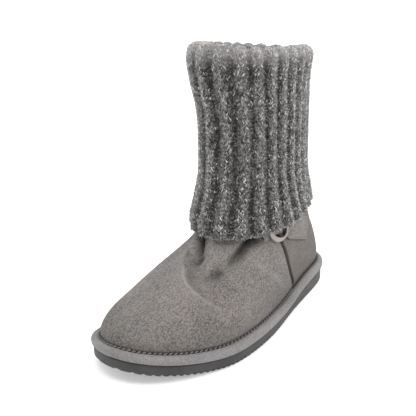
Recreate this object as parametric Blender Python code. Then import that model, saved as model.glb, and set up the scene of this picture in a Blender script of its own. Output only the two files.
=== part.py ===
"""Pull-on suede boot with a folded rib-knit shaft, for the left foot.

Metres, +Z up. The toe points to -Y, and +X is the outer side of the foot.
Every shape is a stack of closed rings round the foot or the leg.
Ring shares run from the toe tip along the outer side to the heel and back.
"""
import bmesh
import bpy
import numpy as np
from mathutils import Matrix, Vector
from mathutils.bvhtree import BVHTree

# Clearances between pieces
GAP = 0.0003
CURVED_GAP = 0.0006

# Sole
SOLE_LENGTH = 0.276
BALL_WIDTH = 0.106
OUTSOLE_THICKNESS = 0.0092
HEEL_RISE = 0.0046
HEEL_RISE_SPAN = (0.17, 0.44)
TOE_SPRING = 0.0112
TOE_SPRING_START = 0.70
TOE_SPRING_POWER = 1.9
ARCH_RISE = 0.0012
ARCH_SPAN = (0.28, 0.52)
SOLE_CHAMFER = 0.0012
TOP_EDGE_STEP = 0.0006
SOLE_COLUMNS = 104

# Tread bars and the plain pads the boot stands on
TREAD_PITCH = 0.0092
TREAD_GROOVE = 0.0036
TREAD_DEPTH = 0.0022
PAD_LENGTH = 0.030
PAD_WIDTH = 0.030
HEEL_PAD_SHARE = 0.14
BALL_PAD_SHARE = 0.64

# Light band between the outsole and the upper, with a rolled rim
BAND_HEIGHT = 0.0072
BAND_HEEL_HEIGHT = 0.0086
BAND_FLOOR = 0.0035
BAND_PROUD = 0.0016
RIM_WIDTH = 0.0050
BAND_COLUMNS = 72

# Insole
INSOLE_THICKNESS = 0.0040
INSOLE_COLUMNS = 56

# Suede upper
UPPER_WALL = 0.0028
UPPER_COLUMNS = 52
COLLAR_HEIGHT = 0.108
OUTER_ROWS = 15
INNER_ROWS = 9
SEAM_STEP = 0.0008
SEAM_COLUMN_STEP = 0.0012
OUTER_SEAM_SHARE = 0.344
INNER_SEAM_SHARE = 0.656
SEAM_LEAN = 0.217
SEAM_LEAN_POWER = 1.45

# Rib-knit shaft, folded down outside
KNIT = 0.0036
LAYER_GAP = 0.0028
FOLD_GAP = 0.0062
FOLD_REACH = 0.030
SHAFT_DEPTH = 0.144
SHAFT_WIDTH = 0.0932
SHAFT_HEIGHT = 0.235
HEM_HEIGHT = 0.093
HEM_TILT = 0.12
TOP_TILT = -0.03
TOP_WAVE = 0.0020
RIB_COUNT = 24
RIB_SPREAD = 4.0
RIB_TURN = 1.79
RIB_FULLNESS = 0.6
RIB_HEIGHT = 0.0016
INNER_RIB_HEIGHT = 0.0008
OUTER_FACE_ROWS = 6
INNER_FACE_ROWS = 3
FOLD_ROWS = 4

# Ring at the ankle and the two suede tabs that hold it
RING_OUTER_RADIUS = 0.0140
RING_WIDTH = 0.0046
RING_THICKNESS = 0.0030
RING_AHEAD = 0.0223
RING_DROP = 0.0198
RING_COLUMNS = 28
TAB_THICKNESS = 0.0014
TAB_WIDTH = 0.022
TAB_NECK = 0.015
REAR_TAB_REACH = 0.0705
REAR_TAB_ANGLE = -20.0
FRONT_TAB_REACH = 0.017
FRONT_TAB_ANGLE = 180.0
TONGUE_REACH = 0.005
LOOP_SPAN = 32.0
TAB_STEP = 0.008
RING_ROOM = 0.0068
RING_ROOM_WIDTH = 0.032
RING_ROOM_HEIGHT = 0.048

# Sole outline: share of the length from the heel, then how far the outer and
# the inner side lie from the middle line, as shares of the ball width
OUTLINE = (
    # along, outer, inner
    (0.025, 0.190, 0.180),
    (0.080, 0.307, 0.290),
    (0.170, 0.364, 0.338),
    (0.300, 0.414, 0.350),
    (0.420, 0.474, 0.362),
    (0.550, 0.526, 0.395),
    (0.660, 0.537, 0.445),
    (0.760, 0.500, 0.478),
    (0.860, 0.385, 0.452),
    (0.940, 0.232, 0.385),
    (0.985, 0.060, 0.265),
)
TOE_TIP_SHIFT = -0.105

# Upper ribs from the rim of the band to the collar, each a cubic curve with
# two handles, as shares of the way in and of the way up
UPPER_RIBS = (
    # round, lower out, lower up, upper in, upper down
    (0.00, 0.01, 0.42, 1.00, 0.20),
    (0.16, 0.20, 0.46, 0.91, 0.41),
    (0.33, 0.02, 0.38, 0.84, 0.70),
    (0.50, 0.00, 0.35, 0.70, 0.69),
    (0.67, 0.08, 0.30, 0.85, 0.60),
    (0.84, 0.03, 0.58, 1.12, 0.41),
)

# Outer face of the shaft: share of the way from the hem to the top, depth and
# width as shares of the shaft's own at the hem, and how far its centre lies
# behind the sole's middle and beside it, as shares of sole length and width
SHAFT = (
    # up, depth, width, centre behind, centre beside
    (0.00, 1.000, 1.000, 0.146, 0.000),
    (0.10, 0.940, 0.938, 0.145, 0.000),
    (0.25, 0.853, 0.876, 0.141, 0.011),
    (0.45, 0.839, 0.858, 0.140, 0.011),
    (0.65, 0.847, 0.869, 0.140, 0.000),
    (0.85, 0.899, 0.933, 0.138, -0.032),
    (0.95, 0.922, 0.961, 0.138, -0.032),
    (1.00, 0.907, 0.942, 0.138, -0.032),
)

# How far the fold's top edge rises and falls round the leg
TOP_LINE = (
    # degrees from the front towards the outer side, rise as a share of the wave
    (0.0, 0.75),
    (60.0, -0.50),
    (120.0, 0.25),
    (180.0, -0.75),
    (240.0, 0.25),
    (300.0, 1.00),
)

COLOURS = {
    # red, green, blue, roughness, metallic
    "outsole": (0.075, 0.070, 0.072, 0.75, 0.0),
    "side_band": (0.33, 0.31, 0.30, 0.85, 0.0),
    "insole": (0.42, 0.38, 0.34, 0.95, 0.0),
    "upper": (0.24, 0.21, 0.185, 0.92, 0.0),
    "knit_shaft": (0.20, 0.185, 0.17, 0.95, 0.0),
    "ankle_ring": (0.48, 0.42, 0.40, 0.35, 0.8),
    "rear_tab": (0.24, 0.21, 0.185, 0.92, 0.0),
    "front_tab": (0.24, 0.21, 0.185, 0.92, 0.0),
}


def ease(t):
    """Smooth step from 0 to 1."""
    return t * t * (3 - 2 * t)


def smooth_curve(places, values, at, period=None):
    """Cubic curve through the rows of values, read at the places asked."""
    places = np.asarray(places, float)
    values = np.asarray(values, float).reshape(len(places), -1)
    at = np.asarray(at, float)
    if period:
        places = np.concatenate([places[-2:] - period, places, places[:2] + period])
        values = np.concatenate([values[-2:], values, values[:2]])
        at = at % period
    slopes = np.gradient(values, places, axis=0)
    row = np.clip(np.searchsorted(places, at, side="right") - 1, 0, len(places) - 2)
    step = (places[row + 1] - places[row])[:, None]
    t = ((at - places[row]) / step[:, 0])[:, None]
    start = (1 + 2 * t) * (1 - t) ** 2 * values[row]
    end = ease(t) * values[row + 1]
    bend = t * (1 - t) ** 2 * slopes[row] - t * t * (1 - t) * slopes[row + 1]
    return start + end + bend * step


def closed_spline(points, shares):
    """Round cubic spline through the points, read at shares of its length."""
    points = np.asarray(points, float)
    count = len(points)
    one = np.eye(count)
    blend = (4 * one + np.roll(one, 1, 0) + np.roll(one, -1, 0)) / 6
    control = np.linalg.solve(blend, points)
    fine = np.linspace(0, count, count * 40, endpoint=False)
    span = fine.astype(int)
    t = (fine - span)[:, None]
    weights = (
        (1 - t) ** 3 / 6,
        (3 * t**3 - 6 * t**2 + 4) / 6,
        (-3 * t**3 + 3 * t**2 + 3 * t + 1) / 6,
        t**3 / 6,
    )
    curve = sum(w * control[(span + k - 1) % count] for k, w in enumerate(weights))
    curve = np.vstack([curve, curve[:1]])
    run = np.concatenate([[0], np.cumsum(np.linalg.norm(np.diff(curve, axis=0), axis=1))])
    at = (np.asarray(shares) % 1.0) * run[-1]
    return np.column_stack([np.interp(at, run, curve[:, 0]), np.interp(at, run, curve[:, 1])])


def along_sole(y):
    """Share of the sole's length from the heel."""
    return 0.5 - np.asarray(y) / SOLE_LENGTH


def sole_outline(shares):
    """Plan of the sole, with a curve to the inner side at the toe."""
    outer = [(row[1] * BALL_WIDTH, SOLE_LENGTH * (0.5 - row[0])) for row in OUTLINE]
    inner = [(-row[2] * BALL_WIDTH, SOLE_LENGTH * (0.5 - row[0])) for row in OUTLINE]
    toe = [(TOE_TIP_SHIFT * BALL_WIDTH, -SOLE_LENGTH / 2)]
    heel = [(0.0, SOLE_LENGTH / 2)]
    return closed_spline(toe + outer[::-1] + heel + inner, shares)


def plan_normals(shares):
    """Outward directions of the sole outline."""
    ahead = sole_outline(np.asarray(shares) + 0.004)
    behind = sole_outline(np.asarray(shares) - 0.004)
    way = ahead - behind
    way /= np.linalg.norm(way, axis=1)[:, None]
    return np.column_stack([way[:, 1], -way[:, 0]])


def inset_outline(shares, inset):
    """Sole outline moved in by the inset."""
    return sole_outline(shares) - plan_normals(shares) * inset


def toe_lift(y):
    """Rise of the forefoot towards the toe tip."""
    t = (along_sole(y) - TOE_SPRING_START) / (1 - TOE_SPRING_START)
    return TOE_SPRING * np.clip(t, 0, 1) ** TOE_SPRING_POWER


def arch_lift(y):
    """Small rise of the sole under the arch."""
    start, end = ARCH_SPAN
    t = np.clip((along_sole(y) - start) / (end - start), 0, 1)
    return ARCH_RISE * np.sin(np.pi * t) ** 2


def at_heel(y):
    """1 under the heel, falling to 0 in front of it."""
    full, none = HEEL_RISE_SPAN
    return ease(np.clip((none - along_sole(y)) / (none - full), 0, 1))


def outsole_top(y):
    """Height of the outsole's upper face, thicker under the heel."""
    return OUTSOLE_THICKNESS + HEEL_RISE * at_heel(y) + toe_lift(y)


def band_bottom(y):
    return outsole_top(y) + GAP


def band_height(y):
    return BAND_HEIGHT + (BAND_HEEL_HEIGHT - BAND_HEIGHT) * at_heel(y)


def band_top(y):
    return band_bottom(y) + band_height(y)


def floor_height(y):
    """Height of the floor inside the band, where the upper and insole stand."""
    return band_bottom(y) + BAND_FLOOR


def ring_at(shares, inset, height):
    """A ring of the sole outline moved in, at the height given as a function."""
    plan = inset_outline(shares, inset)
    return np.column_stack([plan, height(plan[:, 1])])


def even_shares(count):
    return np.arange(count) / count


def make_object(name, points, faces):
    """Mesh object with closed, outward faces and its own material."""
    mesh = bpy.data.meshes.new(name)
    mesh.from_pydata(points.tolist(), [], faces)
    work = bmesh.new()
    work.from_mesh(mesh)
    bmesh.ops.recalc_face_normals(work, faces=work.faces)
    work.to_mesh(mesh)
    work.free()
    mesh.shade_smooth()
    mesh.set_sharp_from_angle(angle=np.radians(40))
    item = bpy.data.objects.new(name, mesh)
    bpy.context.scene.collection.objects.link(item)
    return item


def paint(item):
    """Give an object the finish that COLOURS holds under its name."""
    red, green, blue, roughness, metallic = COLOURS[item.name]
    material = bpy.data.materials.new(item.name)
    material.use_nodes = True
    shader = material.node_tree.nodes["Principled BSDF"]
    shader.inputs["Base Color"].default_value = (red, green, blue, 1.0)
    shader.inputs["Roughness"].default_value = roughness
    shader.inputs["Metallic"].default_value = metallic
    item.data.materials.append(material)


def wall_faces(rows, columns, closed_rows=False):
    """Quads between the rings of a stack."""
    faces = []
    for row in range(rows if closed_rows else rows - 1):
        above = (row + 1) % rows
        for column in range(columns):
            beside = (column + 1) % columns
            faces.append((row * columns + column, row * columns + beside,
                          above * columns + beside, above * columns + column))
    return faces


def cross_faces(first, columns):
    """Faces right across a ring, in strips from the toe to the heel."""
    faces = []
    for step in range(columns // 2):
        corners = (step, step + 1, columns - step - 1, (columns - step) % columns)
        faces.append(tuple(first + corner for corner in dict.fromkeys(corners)))
    return faces


def slab(name, rings):
    """Closed body from a stack of rings with a face across each end."""
    columns = len(rings[0])
    faces = wall_faces(len(rings), columns)
    faces += cross_faces(0, columns)
    faces += cross_faces((len(rings) - 1) * columns, columns)
    return make_object(name, np.concatenate(rings), faces)


def tube(name, rings):
    """Hollow body from rings that go up one face and down the other."""
    faces = wall_faces(len(rings), len(rings[0]), closed_rows=True)
    return make_object(name, np.concatenate(rings), faces)


def cut(item, cutter):
    """Take the cutter's shape out of an object."""
    change = item.modifiers.new("cut by " + cutter.name, "BOOLEAN")
    change.object = cutter
    change.operation = "DIFFERENCE"
    change.solver = "EXACT"


def join_with(item, other):
    """Make another shape part of an object."""
    change = item.modifiers.new("joined with " + other.name, "BOOLEAN")
    change.object = other
    change.operation = "UNION"
    change.solver = "EXACT"


def as_guide(item):
    item.hide_render = True
    item.display_type = "WIRE"
    return item


def sole_under(y):
    return toe_lift(y) + arch_lift(y)


def make_outsole():
    shares = even_shares(SOLE_COLUMNS)
    rings = [
        ring_at(shares, SOLE_CHAMFER, sole_under),
        ring_at(shares, 0.0, lambda y: sole_under(y) + SOLE_CHAMFER),
        ring_at(shares, 0.0, lambda y: outsole_top(y) - TOP_EDGE_STEP),
        ring_at(shares, TOP_EDGE_STEP, outsole_top),
    ]
    outsole = slab("outsole", rings)
    cut(outsole, make_tread_cutter())
    return outsole


def box_corners(low, high):
    return [(x, y, z) for x in (low[0], high[0]) for y in (low[1], high[1]) for z in (low[2], high[2])]


def make_tread_cutter():
    """Cross grooves of the tread, kept off the heel pad and the ball pad."""
    points = []
    faces = []
    box_faces = ((0, 1, 3, 2), (4, 6, 7, 5), (0, 4, 5, 1), (2, 3, 7, 6), (0, 2, 6, 4), (1, 5, 7, 3))
    reach = BALL_WIDTH
    count = int(SOLE_LENGTH / TREAD_PITCH)
    pad_places = [SOLE_LENGTH * (0.5 - share) for share in (HEEL_PAD_SHARE, BALL_PAD_SHARE)]
    for number in range(1, count):
        y = SOLE_LENGTH / 2 - number * SOLE_LENGTH / count
        top = float(sole_under(y)) + TREAD_DEPTH
        on_pad = any(abs(y - place) < (PAD_LENGTH + TREAD_GROOVE) / 2 for place in pad_places)
        if on_pad:
            spans = [(-reach, -PAD_WIDTH / 2), (PAD_WIDTH / 2, reach)]
        else:
            spans = [(-reach, reach)]
        for left, right in spans:
            low = (left, y - TREAD_GROOVE / 2, -TREAD_DEPTH)
            high = (right, y + TREAD_GROOVE / 2, top)
            faces += [tuple(len(points) + corner for corner in face) for face in box_faces]
            points += box_corners(low, high)
    return as_guide(make_object("tread_cutter", np.array(points), faces))


def make_side_band():
    """Band with a proud rounded side and a rolled rim round the upper."""
    shares = even_shares(BAND_COLUMNS)

    def level(share):
        return lambda y: band_bottom(y) + share * band_height(y)

    profile = (
        # inset, share of the height
        (0.0006, 0.00),
        (-0.7 * BAND_PROUD, 0.14),
        (-BAND_PROUD, 0.42),
        (-0.6 * BAND_PROUD, 0.74),
        (0.28 * RIM_WIDTH, 0.95),
        (0.62 * RIM_WIDTH, 1.00),
        (RIM_WIDTH, 0.90),
    )
    rings = [ring_at(shares, inset, level(share)) for inset, share in profile]
    rings.append(ring_at(shares, RIM_WIDTH, floor_height))
    return slab("side_band", rings)


def make_insole():
    shares = even_shares(INSOLE_COLUMNS)
    inset = RIM_WIDTH + CURVED_GAP + UPPER_WALL + CURVED_GAP
    bottom = ring_at(shares, inset, lambda y: floor_height(y) + GAP)
    top = ring_at(shares, inset, lambda y: floor_height(y) + GAP + INSOLE_THICKNESS)
    return slab("insole", [bottom, top])


def shaft_section(height):
    """Half depth, half width and centre (y, x) of the shaft's outer face."""
    rise = (np.atleast_1d(height) - HEM_HEIGHT) / (SHAFT_HEIGHT - HEM_HEIGHT)
    table = np.array(SHAFT)
    shares = smooth_curve(table[:, 0], table[:, 1:], np.clip(rise, 0, 1))
    return shares * (SHAFT_DEPTH / 2, SHAFT_WIDTH / 2, SOLE_LENGTH, SHAFT_WIDTH)


def leg_ring(angles, height, depth_in):
    """Ring round the leg, the given depth inside the shaft's outer face."""
    angles = np.asarray(angles, float)
    height = np.broadcast_to(height, angles.shape).astype(float)
    half_depth, half_width, centre_y, centre_x = shaft_section(height).T
    x = centre_x + (half_width - depth_in) * np.sin(angles)
    y = centre_y - (half_depth - depth_in) * np.cos(angles)
    return np.column_stack([x, y, height])


def upper_shares(rows):
    """Column places on the upper, with a close pair at each side seam.

    The columns near a seam lean forward as they rise, as the seam does.
    """
    shares = even_shares(UPPER_COLUMNS)
    half = SEAM_COLUMN_STEP
    for seam in (OUTER_SEAM_SHARE, INNER_SEAM_SHARE):
        nearest = np.argmin(np.abs(shares - seam))
        shares[nearest] = seam - half
        shares = np.sort(np.append(shares, seam + half))
    return lean_shares(shares[None, :], np.asarray(rows)[:, None])


def lean_shares(shares, rows):
    """Shares moved towards the toe, most at the side seams and at the collar."""
    return shares - SEAM_LEAN * rows**SEAM_LEAN_POWER * np.sin(2 * np.pi * shares)


def upper_face(shares, rows):
    """Outer face of the upper from the band's rim (row 0) to the collar (row 1)."""
    shares, rows = np.broadcast_arrays(shares, rows)
    shape = shares.shape
    shares = shares.ravel()
    t = rows.ravel()[:, None]
    foot = ring_at(shares, RIM_WIDTH + CURVED_GAP, band_top)
    collar = leg_ring(2 * np.pi * shares, COLLAR_HEIGHT, KNIT + LAYER_GAP)
    table = np.array(UPPER_RIBS)
    handles = smooth_curve(table[:, 0], table[:, 1:], shares, period=1.0)
    out, up, into, down = (handles[:, k : k + 1] for k in range(4))
    near = 3 * t * (1 - t) ** 2
    far = 3 * t * t * (1 - t)
    travel = far * into + t**3 - near * out
    rise = near * up + far * down + t**3
    way = collar - foot
    points = foot + np.column_stack([travel * way[:, :2], rise * way[:, 2:]])
    return points.reshape(shape + (3,))


def upper_normals(shares, rows):
    """Outward unit normals of the upper's outer face."""
    step = 0.004
    along = upper_face(shares + step, rows) - upper_face(shares - step, rows)
    upward = upper_face(shares, rows + step) - upper_face(shares, rows - step)
    normals = np.cross(along, upward)
    return normals / np.linalg.norm(normals, axis=-1)[..., None]


def upper_rows(count):
    """Places of the rows up the ribs, closer at both ends."""
    even = np.linspace(0, 1, count)
    return even - 0.06 * np.sin(2 * np.pi * even)


def make_upper():
    """One hollow wall, open at the collar and under the foot."""
    rows = upper_rows(OUTER_ROWS)[:, None]
    shares = upper_shares(rows[:, 0])
    outer = upper_face(shares, rows)
    heel_panel = (shares[0] > OUTER_SEAM_SHARE) & (shares[0] < INNER_SEAM_SHARE)
    step = SEAM_STEP * heel_panel * np.ones((OUTER_ROWS, 1))
    step[[0, -1]] = 0.0
    outer = outer + upper_normals(shares, rows) * step[..., None]
    inner_rows = upper_rows(INNER_ROWS)[:, None]
    inner_shares = upper_shares(inner_rows[:, 0])
    normals = upper_normals(inner_shares, inner_rows)
    normals[[0, -1], :, 2] = 0
    normals /= np.linalg.norm(normals, axis=2)[..., None]
    inner = upper_face(inner_shares, inner_rows) - normals * UPPER_WALL
    foot = outer[0].copy()
    foot[:, 2] = floor_height(foot[:, 1]) + GAP
    inner_foot = foot.copy()
    inner_foot[:, :2] = inset_outline(shares[0], RIM_WIDTH + CURVED_GAP + UPPER_WALL)
    rings = [foot] + list(outer) + list(inner[::-1]) + [inner_foot]
    return tube("upper", rings)


def rib_angles():
    """Column angles, four to a rib, with the ribs closer at the two sides."""
    fine = np.linspace(0, 2 * np.pi, 2000)
    phase = RIB_COUNT * fine - RIB_SPREAD * np.sin(2 * fine)
    columns = np.arange(RIB_COUNT)[:, None] + np.array([0.0, 0.27, 0.5, 0.73])
    wanted = (columns.ravel() * 2 * np.pi + RIB_TURN) % (2 * np.pi * RIB_COUNT)
    return np.sort(np.interp(wanted, phase, fine))


def rib_lift(angles):
    """Height share of the knit ribs: low in the grooves, full on the ribs."""
    phase = RIB_COUNT * angles - RIB_SPREAD * np.sin(2 * angles) - RIB_TURN
    wave = 0.5 - 0.5 * np.cos(phase)
    return wave**RIB_FULLNESS


def make_knit_shaft(ring_centre):
    """Tube of ribbed knit with its upper half folded down outside.

    The folded layer swells out over the ankle ring, and the two layers lie
    further apart at the fold than below it.
    """
    angles = rib_angles()
    lift = rib_lift(angles)
    table = np.array(TOP_LINE)
    top_line = smooth_curve(table[:, 0], table[:, 1], np.degrees(angles), period=360.0)[:, 0]
    toward_heel = -np.cos(angles)
    half_depth, half_width, centre_y, _ = shaft_section(HEM_HEIGHT)[0]
    top = SHAFT_HEIGHT + TOP_WAVE * top_line + TOP_TILT * half_depth * toward_heel
    hem = HEM_HEIGHT + HEM_TILT * half_depth * toward_heel
    collar = np.full(len(angles), COLLAR_HEIGHT + GAP)
    fold_radius = KNIT + FOLD_GAP / 2
    ring_angle = np.arctan2(ring_centre[0], centre_y - ring_centre[1])
    room_angle = RING_ROOM_WIDTH / half_width
    room = RING_ROOM * np.exp(-(((angles - ring_angle) / room_angle) ** 2))

    def swell(height):
        """How far the folded layer stands out over the ankle ring."""
        t = np.clip(1 - (height - hem) / RING_ROOM_HEIGHT, 0, 1)
        return room * ease(t)

    def layer_gap(height):
        """Space between the two layers, widest just under the fold."""
        t = np.clip(1 - (top - fold_radius - height) / FOLD_REACH, 0, 1)
        return LAYER_GAP + (FOLD_GAP - LAYER_GAP) * ease(t)

    def folded_ring(height, depth, rib):
        return leg_ring(angles, height, depth - rib * lift - swell(height))

    def standing_ring(height, depth, rib):
        return leg_ring(angles, height, depth + KNIT + layer_gap(height) - rib * lift)

    def rise(ring, low, rows, depth, rib):
        high = top - fold_radius
        return [ring(low + (high - low) * share, depth, rib) for share in np.linspace(0, 1, rows)]

    def fold(radius, rows, rib):
        turns = np.pi * np.linspace(0, 1, rows + 2)[1:-1]
        return [
            leg_ring(angles, top - fold_radius + radius * np.sin(turn),
                     fold_radius - radius * np.cos(turn) - rib * lift)
            for turn in turns
        ]

    outside = rise(folded_ring, hem, OUTER_FACE_ROWS, 0.0, RIB_HEIGHT)
    inside = rise(standing_ring, collar, INNER_FACE_ROWS, KNIT, -INNER_RIB_HEIGHT)
    under_inside = rise(standing_ring, collar, INNER_FACE_ROWS, 0.0, 0.0)
    under_outside = rise(folded_ring, hem, INNER_FACE_ROWS, KNIT, 0.0)
    hem_edge = [folded_ring(hem - KNIT / 4, KNIT / 2, RIB_HEIGHT / 2)]
    rings = outside + fold(fold_radius, FOLD_ROWS, RIB_HEIGHT / 2) + inside[::-1]
    rings += under_inside + fold(FOLD_GAP / 2, 1, 0.0) + under_outside[::-1] + hem_edge
    return tube("knit_shaft", rings)


def surface_finder(item):
    """Function that finds the outer side of an object at a place (y, z)."""
    tree = BVHTree.FromPolygons([v.co for v in item.data.vertices],
                                [tuple(p.vertices) for p in item.data.polygons])

    def find(y, z):
        start = Vector((BALL_WIDTH, y, z))
        place, normal, _, _ = tree.ray_cast(start, Vector((-1, 0, 0)))
        return np.array(place), np.array(normal)

    return find


def ring_frame(find):
    """Centre of the ankle ring and its across, upward and outward directions."""
    y = shaft_section(COLLAR_HEIGHT)[0, 2] - RING_AHEAD
    z = COLLAR_HEIGHT - RING_DROP
    place, _ = find(y, z)
    reach = RING_OUTER_RADIUS
    across = find(y + reach, z)[0] - find(y - reach, z)[0]
    upward = find(y, z + reach)[0] - find(y, z - reach)[0]
    across /= np.linalg.norm(across)
    outward = np.cross(across, upward)
    outward /= np.linalg.norm(outward)
    upward = np.cross(outward, across)
    stand = CURVED_GAP + TAB_THICKNESS + GAP + RING_THICKNESS / 2
    return place + outward * stand, across, upward, outward


def torus_part(name, frame, turns, width, thickness, sides, closed):
    """Ring, or a stretch of it, with an oval section."""
    centre, across, upward, outward = frame
    radius = RING_OUTER_RADIUS - RING_WIDTH / 2
    around = 2 * np.pi * even_shares(sides)
    rings = []
    for turn in turns:
        spoke = across * np.cos(turn) + upward * np.sin(turn)
        out = np.cos(around)[:, None] * spoke * width / 2
        rings.append(centre + spoke * radius + out + np.sin(around)[:, None] * outward * thickness / 2)
    faces = wall_faces(len(rings), sides, closed_rows=closed)
    if not closed:
        faces += [tuple(range(sides)), tuple(range((len(rings) - 1) * sides, len(rings) * sides))]
    return make_object(name, np.concatenate(rings), faces)


def make_ankle_ring(frame):
    turns = 2 * np.pi * even_shares(RING_COLUMNS)
    return torus_part("ankle_ring", frame, turns, RING_WIDTH, RING_THICKNESS, 8, True)


def make_tab(name, frame, find, angle, first, reach):
    """Strap that lies on the upper and rises to loop round the ring's bar.

    Near the bar it keeps the ring's plane, unless the upper stands higher.
    """
    centre, across, upward, outward = frame
    turn = np.radians(angle)
    way = np.array([np.cos(turn), np.sin(turn)])
    side = np.array([-way[1], way[0]])
    bar = RING_OUTER_RADIUS - RING_WIDTH / 2
    under_ring = RING_THICKNESS / 2 + GAP + TAB_THICKNESS
    lengths = np.linspace(first, reach, max(4, int((reach - first) / TAB_STEP)))
    widths = np.linspace(-0.5, 0.5, 5)
    points = []
    for lift in (CURVED_GAP, CURVED_GAP + TAB_THICKNESS):
        for length in lengths:
            wide = np.interp(length, (bar, RING_OUTER_RADIUS + RING_WIDTH), (TAB_NECK, TAB_WIDTH))
            for width in widths:
                flat = way * length + side * width * wide
                place, normal = find(centre[1] + flat[0], centre[2] + flat[1])
                level = centre + across * flat[0] + upward * flat[1]
                level = level + outward * (lift - CURVED_GAP - under_ring)
                drop = place + normal * lift - level
                t = np.clip((length - bar) / RING_WIDTH / 2, 0, 1)
                stands_proud = drop @ outward > 0
                points.append(level + drop * (1.0 if stands_proud else ease(t)))
    tab = make_object(name, np.array(points), plate_faces(len(lengths), len(widths)))
    turns = turn + np.radians(LOOP_SPAN) * np.linspace(-1, 1, 7)
    hole_width = RING_WIDTH + 2 * GAP
    hole_thickness = RING_THICKNESS + 2 * GAP
    loop = torus_part(name + "_loop", frame, turns, hole_width + 2 * TAB_THICKNESS,
                      hole_thickness + 2 * TAB_THICKNESS, 10, False)
    hole = torus_part(name + "_hole", frame, 2 * np.pi * even_shares(RING_COLUMNS), hole_width,
                      hole_thickness, 10, True)
    join_with(tab, as_guide(loop))
    cut(tab, as_guide(hole))
    return tab


def plate_faces(rows, columns):
    """Faces of a thin plate: bottom grid, top grid and the four edges."""
    size = rows * columns
    faces = []
    for row in range(rows - 1):
        for column in range(columns - 1):
            corner = row * columns + column
            quad = (corner, corner + 1, corner + columns + 1, corner + columns)
            faces.append(quad[::-1])
            faces.append(tuple(size + k for k in quad))
    rim = list(range(columns))
    rim += [row * columns + columns - 1 for row in range(1, rows)]
    rim += [(rows - 1) * columns + column for column in range(columns - 2, -1, -1)]
    rim += [row * columns for row in range(rows - 2, 0, -1)]
    for here, there in zip(rim, rim[1:] + rim[:1]):
        faces.append((here, there, size + there, size + here))
    return faces


def centre_on_floor(items):
    """Put the middle of the whole boot's outline over the origin."""
    corners = np.array([v.co for item in items for v in item.data.vertices])
    middle = (corners.min(axis=0) + corners.max(axis=0)) / 2
    shift = Vector((-middle[0], -middle[1], 0.0))
    for item in bpy.data.objects:
        item.data.transform(Matrix.Translation(shift))


def main():
    for item in list(bpy.data.objects):
        bpy.data.objects.remove(item, do_unlink=True)
    upper = make_upper()
    find = surface_finder(upper)
    frame = ring_frame(find)
    bar = RING_OUTER_RADIUS - RING_WIDTH / 2
    items = [
        make_outsole(),
        make_side_band(),
        make_insole(),
        upper,
        make_knit_shaft(frame[0]),
        make_ankle_ring(frame),
        make_tab("rear_tab", frame, find, REAR_TAB_ANGLE, bar, REAR_TAB_REACH),
        make_tab("front_tab", frame, find, FRONT_TAB_ANGLE, -TONGUE_REACH, FRONT_TAB_REACH),
    ]
    for item in items:
        paint(item)
    centre_on_floor(items)


main()
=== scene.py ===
import bmesh
import bpy
import numpy as np
from mathutils import Euler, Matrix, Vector


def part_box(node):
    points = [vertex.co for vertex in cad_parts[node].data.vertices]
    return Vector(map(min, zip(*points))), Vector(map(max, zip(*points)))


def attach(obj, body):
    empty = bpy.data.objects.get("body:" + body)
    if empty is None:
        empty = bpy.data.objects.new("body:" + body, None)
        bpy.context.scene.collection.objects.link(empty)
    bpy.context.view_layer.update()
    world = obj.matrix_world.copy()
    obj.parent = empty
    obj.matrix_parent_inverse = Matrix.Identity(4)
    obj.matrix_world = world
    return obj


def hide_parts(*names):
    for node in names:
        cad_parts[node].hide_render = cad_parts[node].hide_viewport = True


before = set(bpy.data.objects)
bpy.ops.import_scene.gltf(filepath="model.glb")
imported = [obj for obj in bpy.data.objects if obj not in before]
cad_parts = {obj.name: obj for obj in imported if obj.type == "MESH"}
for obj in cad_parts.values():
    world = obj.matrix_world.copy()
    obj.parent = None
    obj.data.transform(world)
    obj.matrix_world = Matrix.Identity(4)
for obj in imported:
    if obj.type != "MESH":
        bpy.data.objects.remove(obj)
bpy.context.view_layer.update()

# Looks of a pull-on suede boot with a folded rib-knit shaft, for the left foot.
# Metres, +Z up, the toe towards -Y and the outer side of the foot towards +X.
# Ring shares run from the toe tip along the outer side to the heel and back.

# Sizes that the solids have too
SOLE_LENGTH = 0.276
BALL_WIDTH = 0.106
OUTSOLE_THICKNESS = 0.0092
HEEL_RISE = 0.0046
HEEL_RISE_SPAN = (0.17, 0.44)
TOE_SPRING = 0.0112
TOE_SPRING_START = 0.70
TOE_SPRING_POWER = 1.9
ARCH_RISE = 0.0012
ARCH_SPAN = (0.28, 0.52)
BAND_HEIGHT = 0.0072
BAND_HEEL_HEIGHT = 0.0086
BAND_FLOOR = 0.0035
BAND_PROUD = 0.0016
RIM_WIDTH = 0.0050
GAP = 0.0003
CURVED_GAP = 0.0006
UPPER_WALL = 0.0028
COLLAR_HEIGHT = 0.108
PANEL_STEP = 0.0008
SEAM_SHARE = 0.344
SEAM_LEAN = 0.217
SEAM_LEAN_POWER = 1.45
INSOLE_THICKNESS = 0.0040
KNIT = 0.0036
LAYER_GAP = 0.0028
FOLD_GAP = 0.0062
FOLD_REACH = 0.030
SHAFT_DEPTH = 0.144
SHAFT_WIDTH = 0.0932
SHAFT_HEIGHT = 0.235
HEM_HEIGHT = 0.093
HEM_TILT = 0.12
TOP_TILT = -0.03
TOP_WAVE = 0.0020
RIB_COUNT = 24
RIB_SPREAD = 4.0
RIB_TURN = 1.79
RING_OUTER_RADIUS = 0.0140
RING_AHEAD = 0.0223
RING_DROP = 0.0198
RING_ROOM = 0.0068
RING_ROOM_WIDTH = 0.032
RING_ROOM_HEIGHT = 0.048
TAB_THICKNESS = 0.0014
PAD_SIZE = 0.030
PAD_SHARES = (0.14, 0.64)

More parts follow.
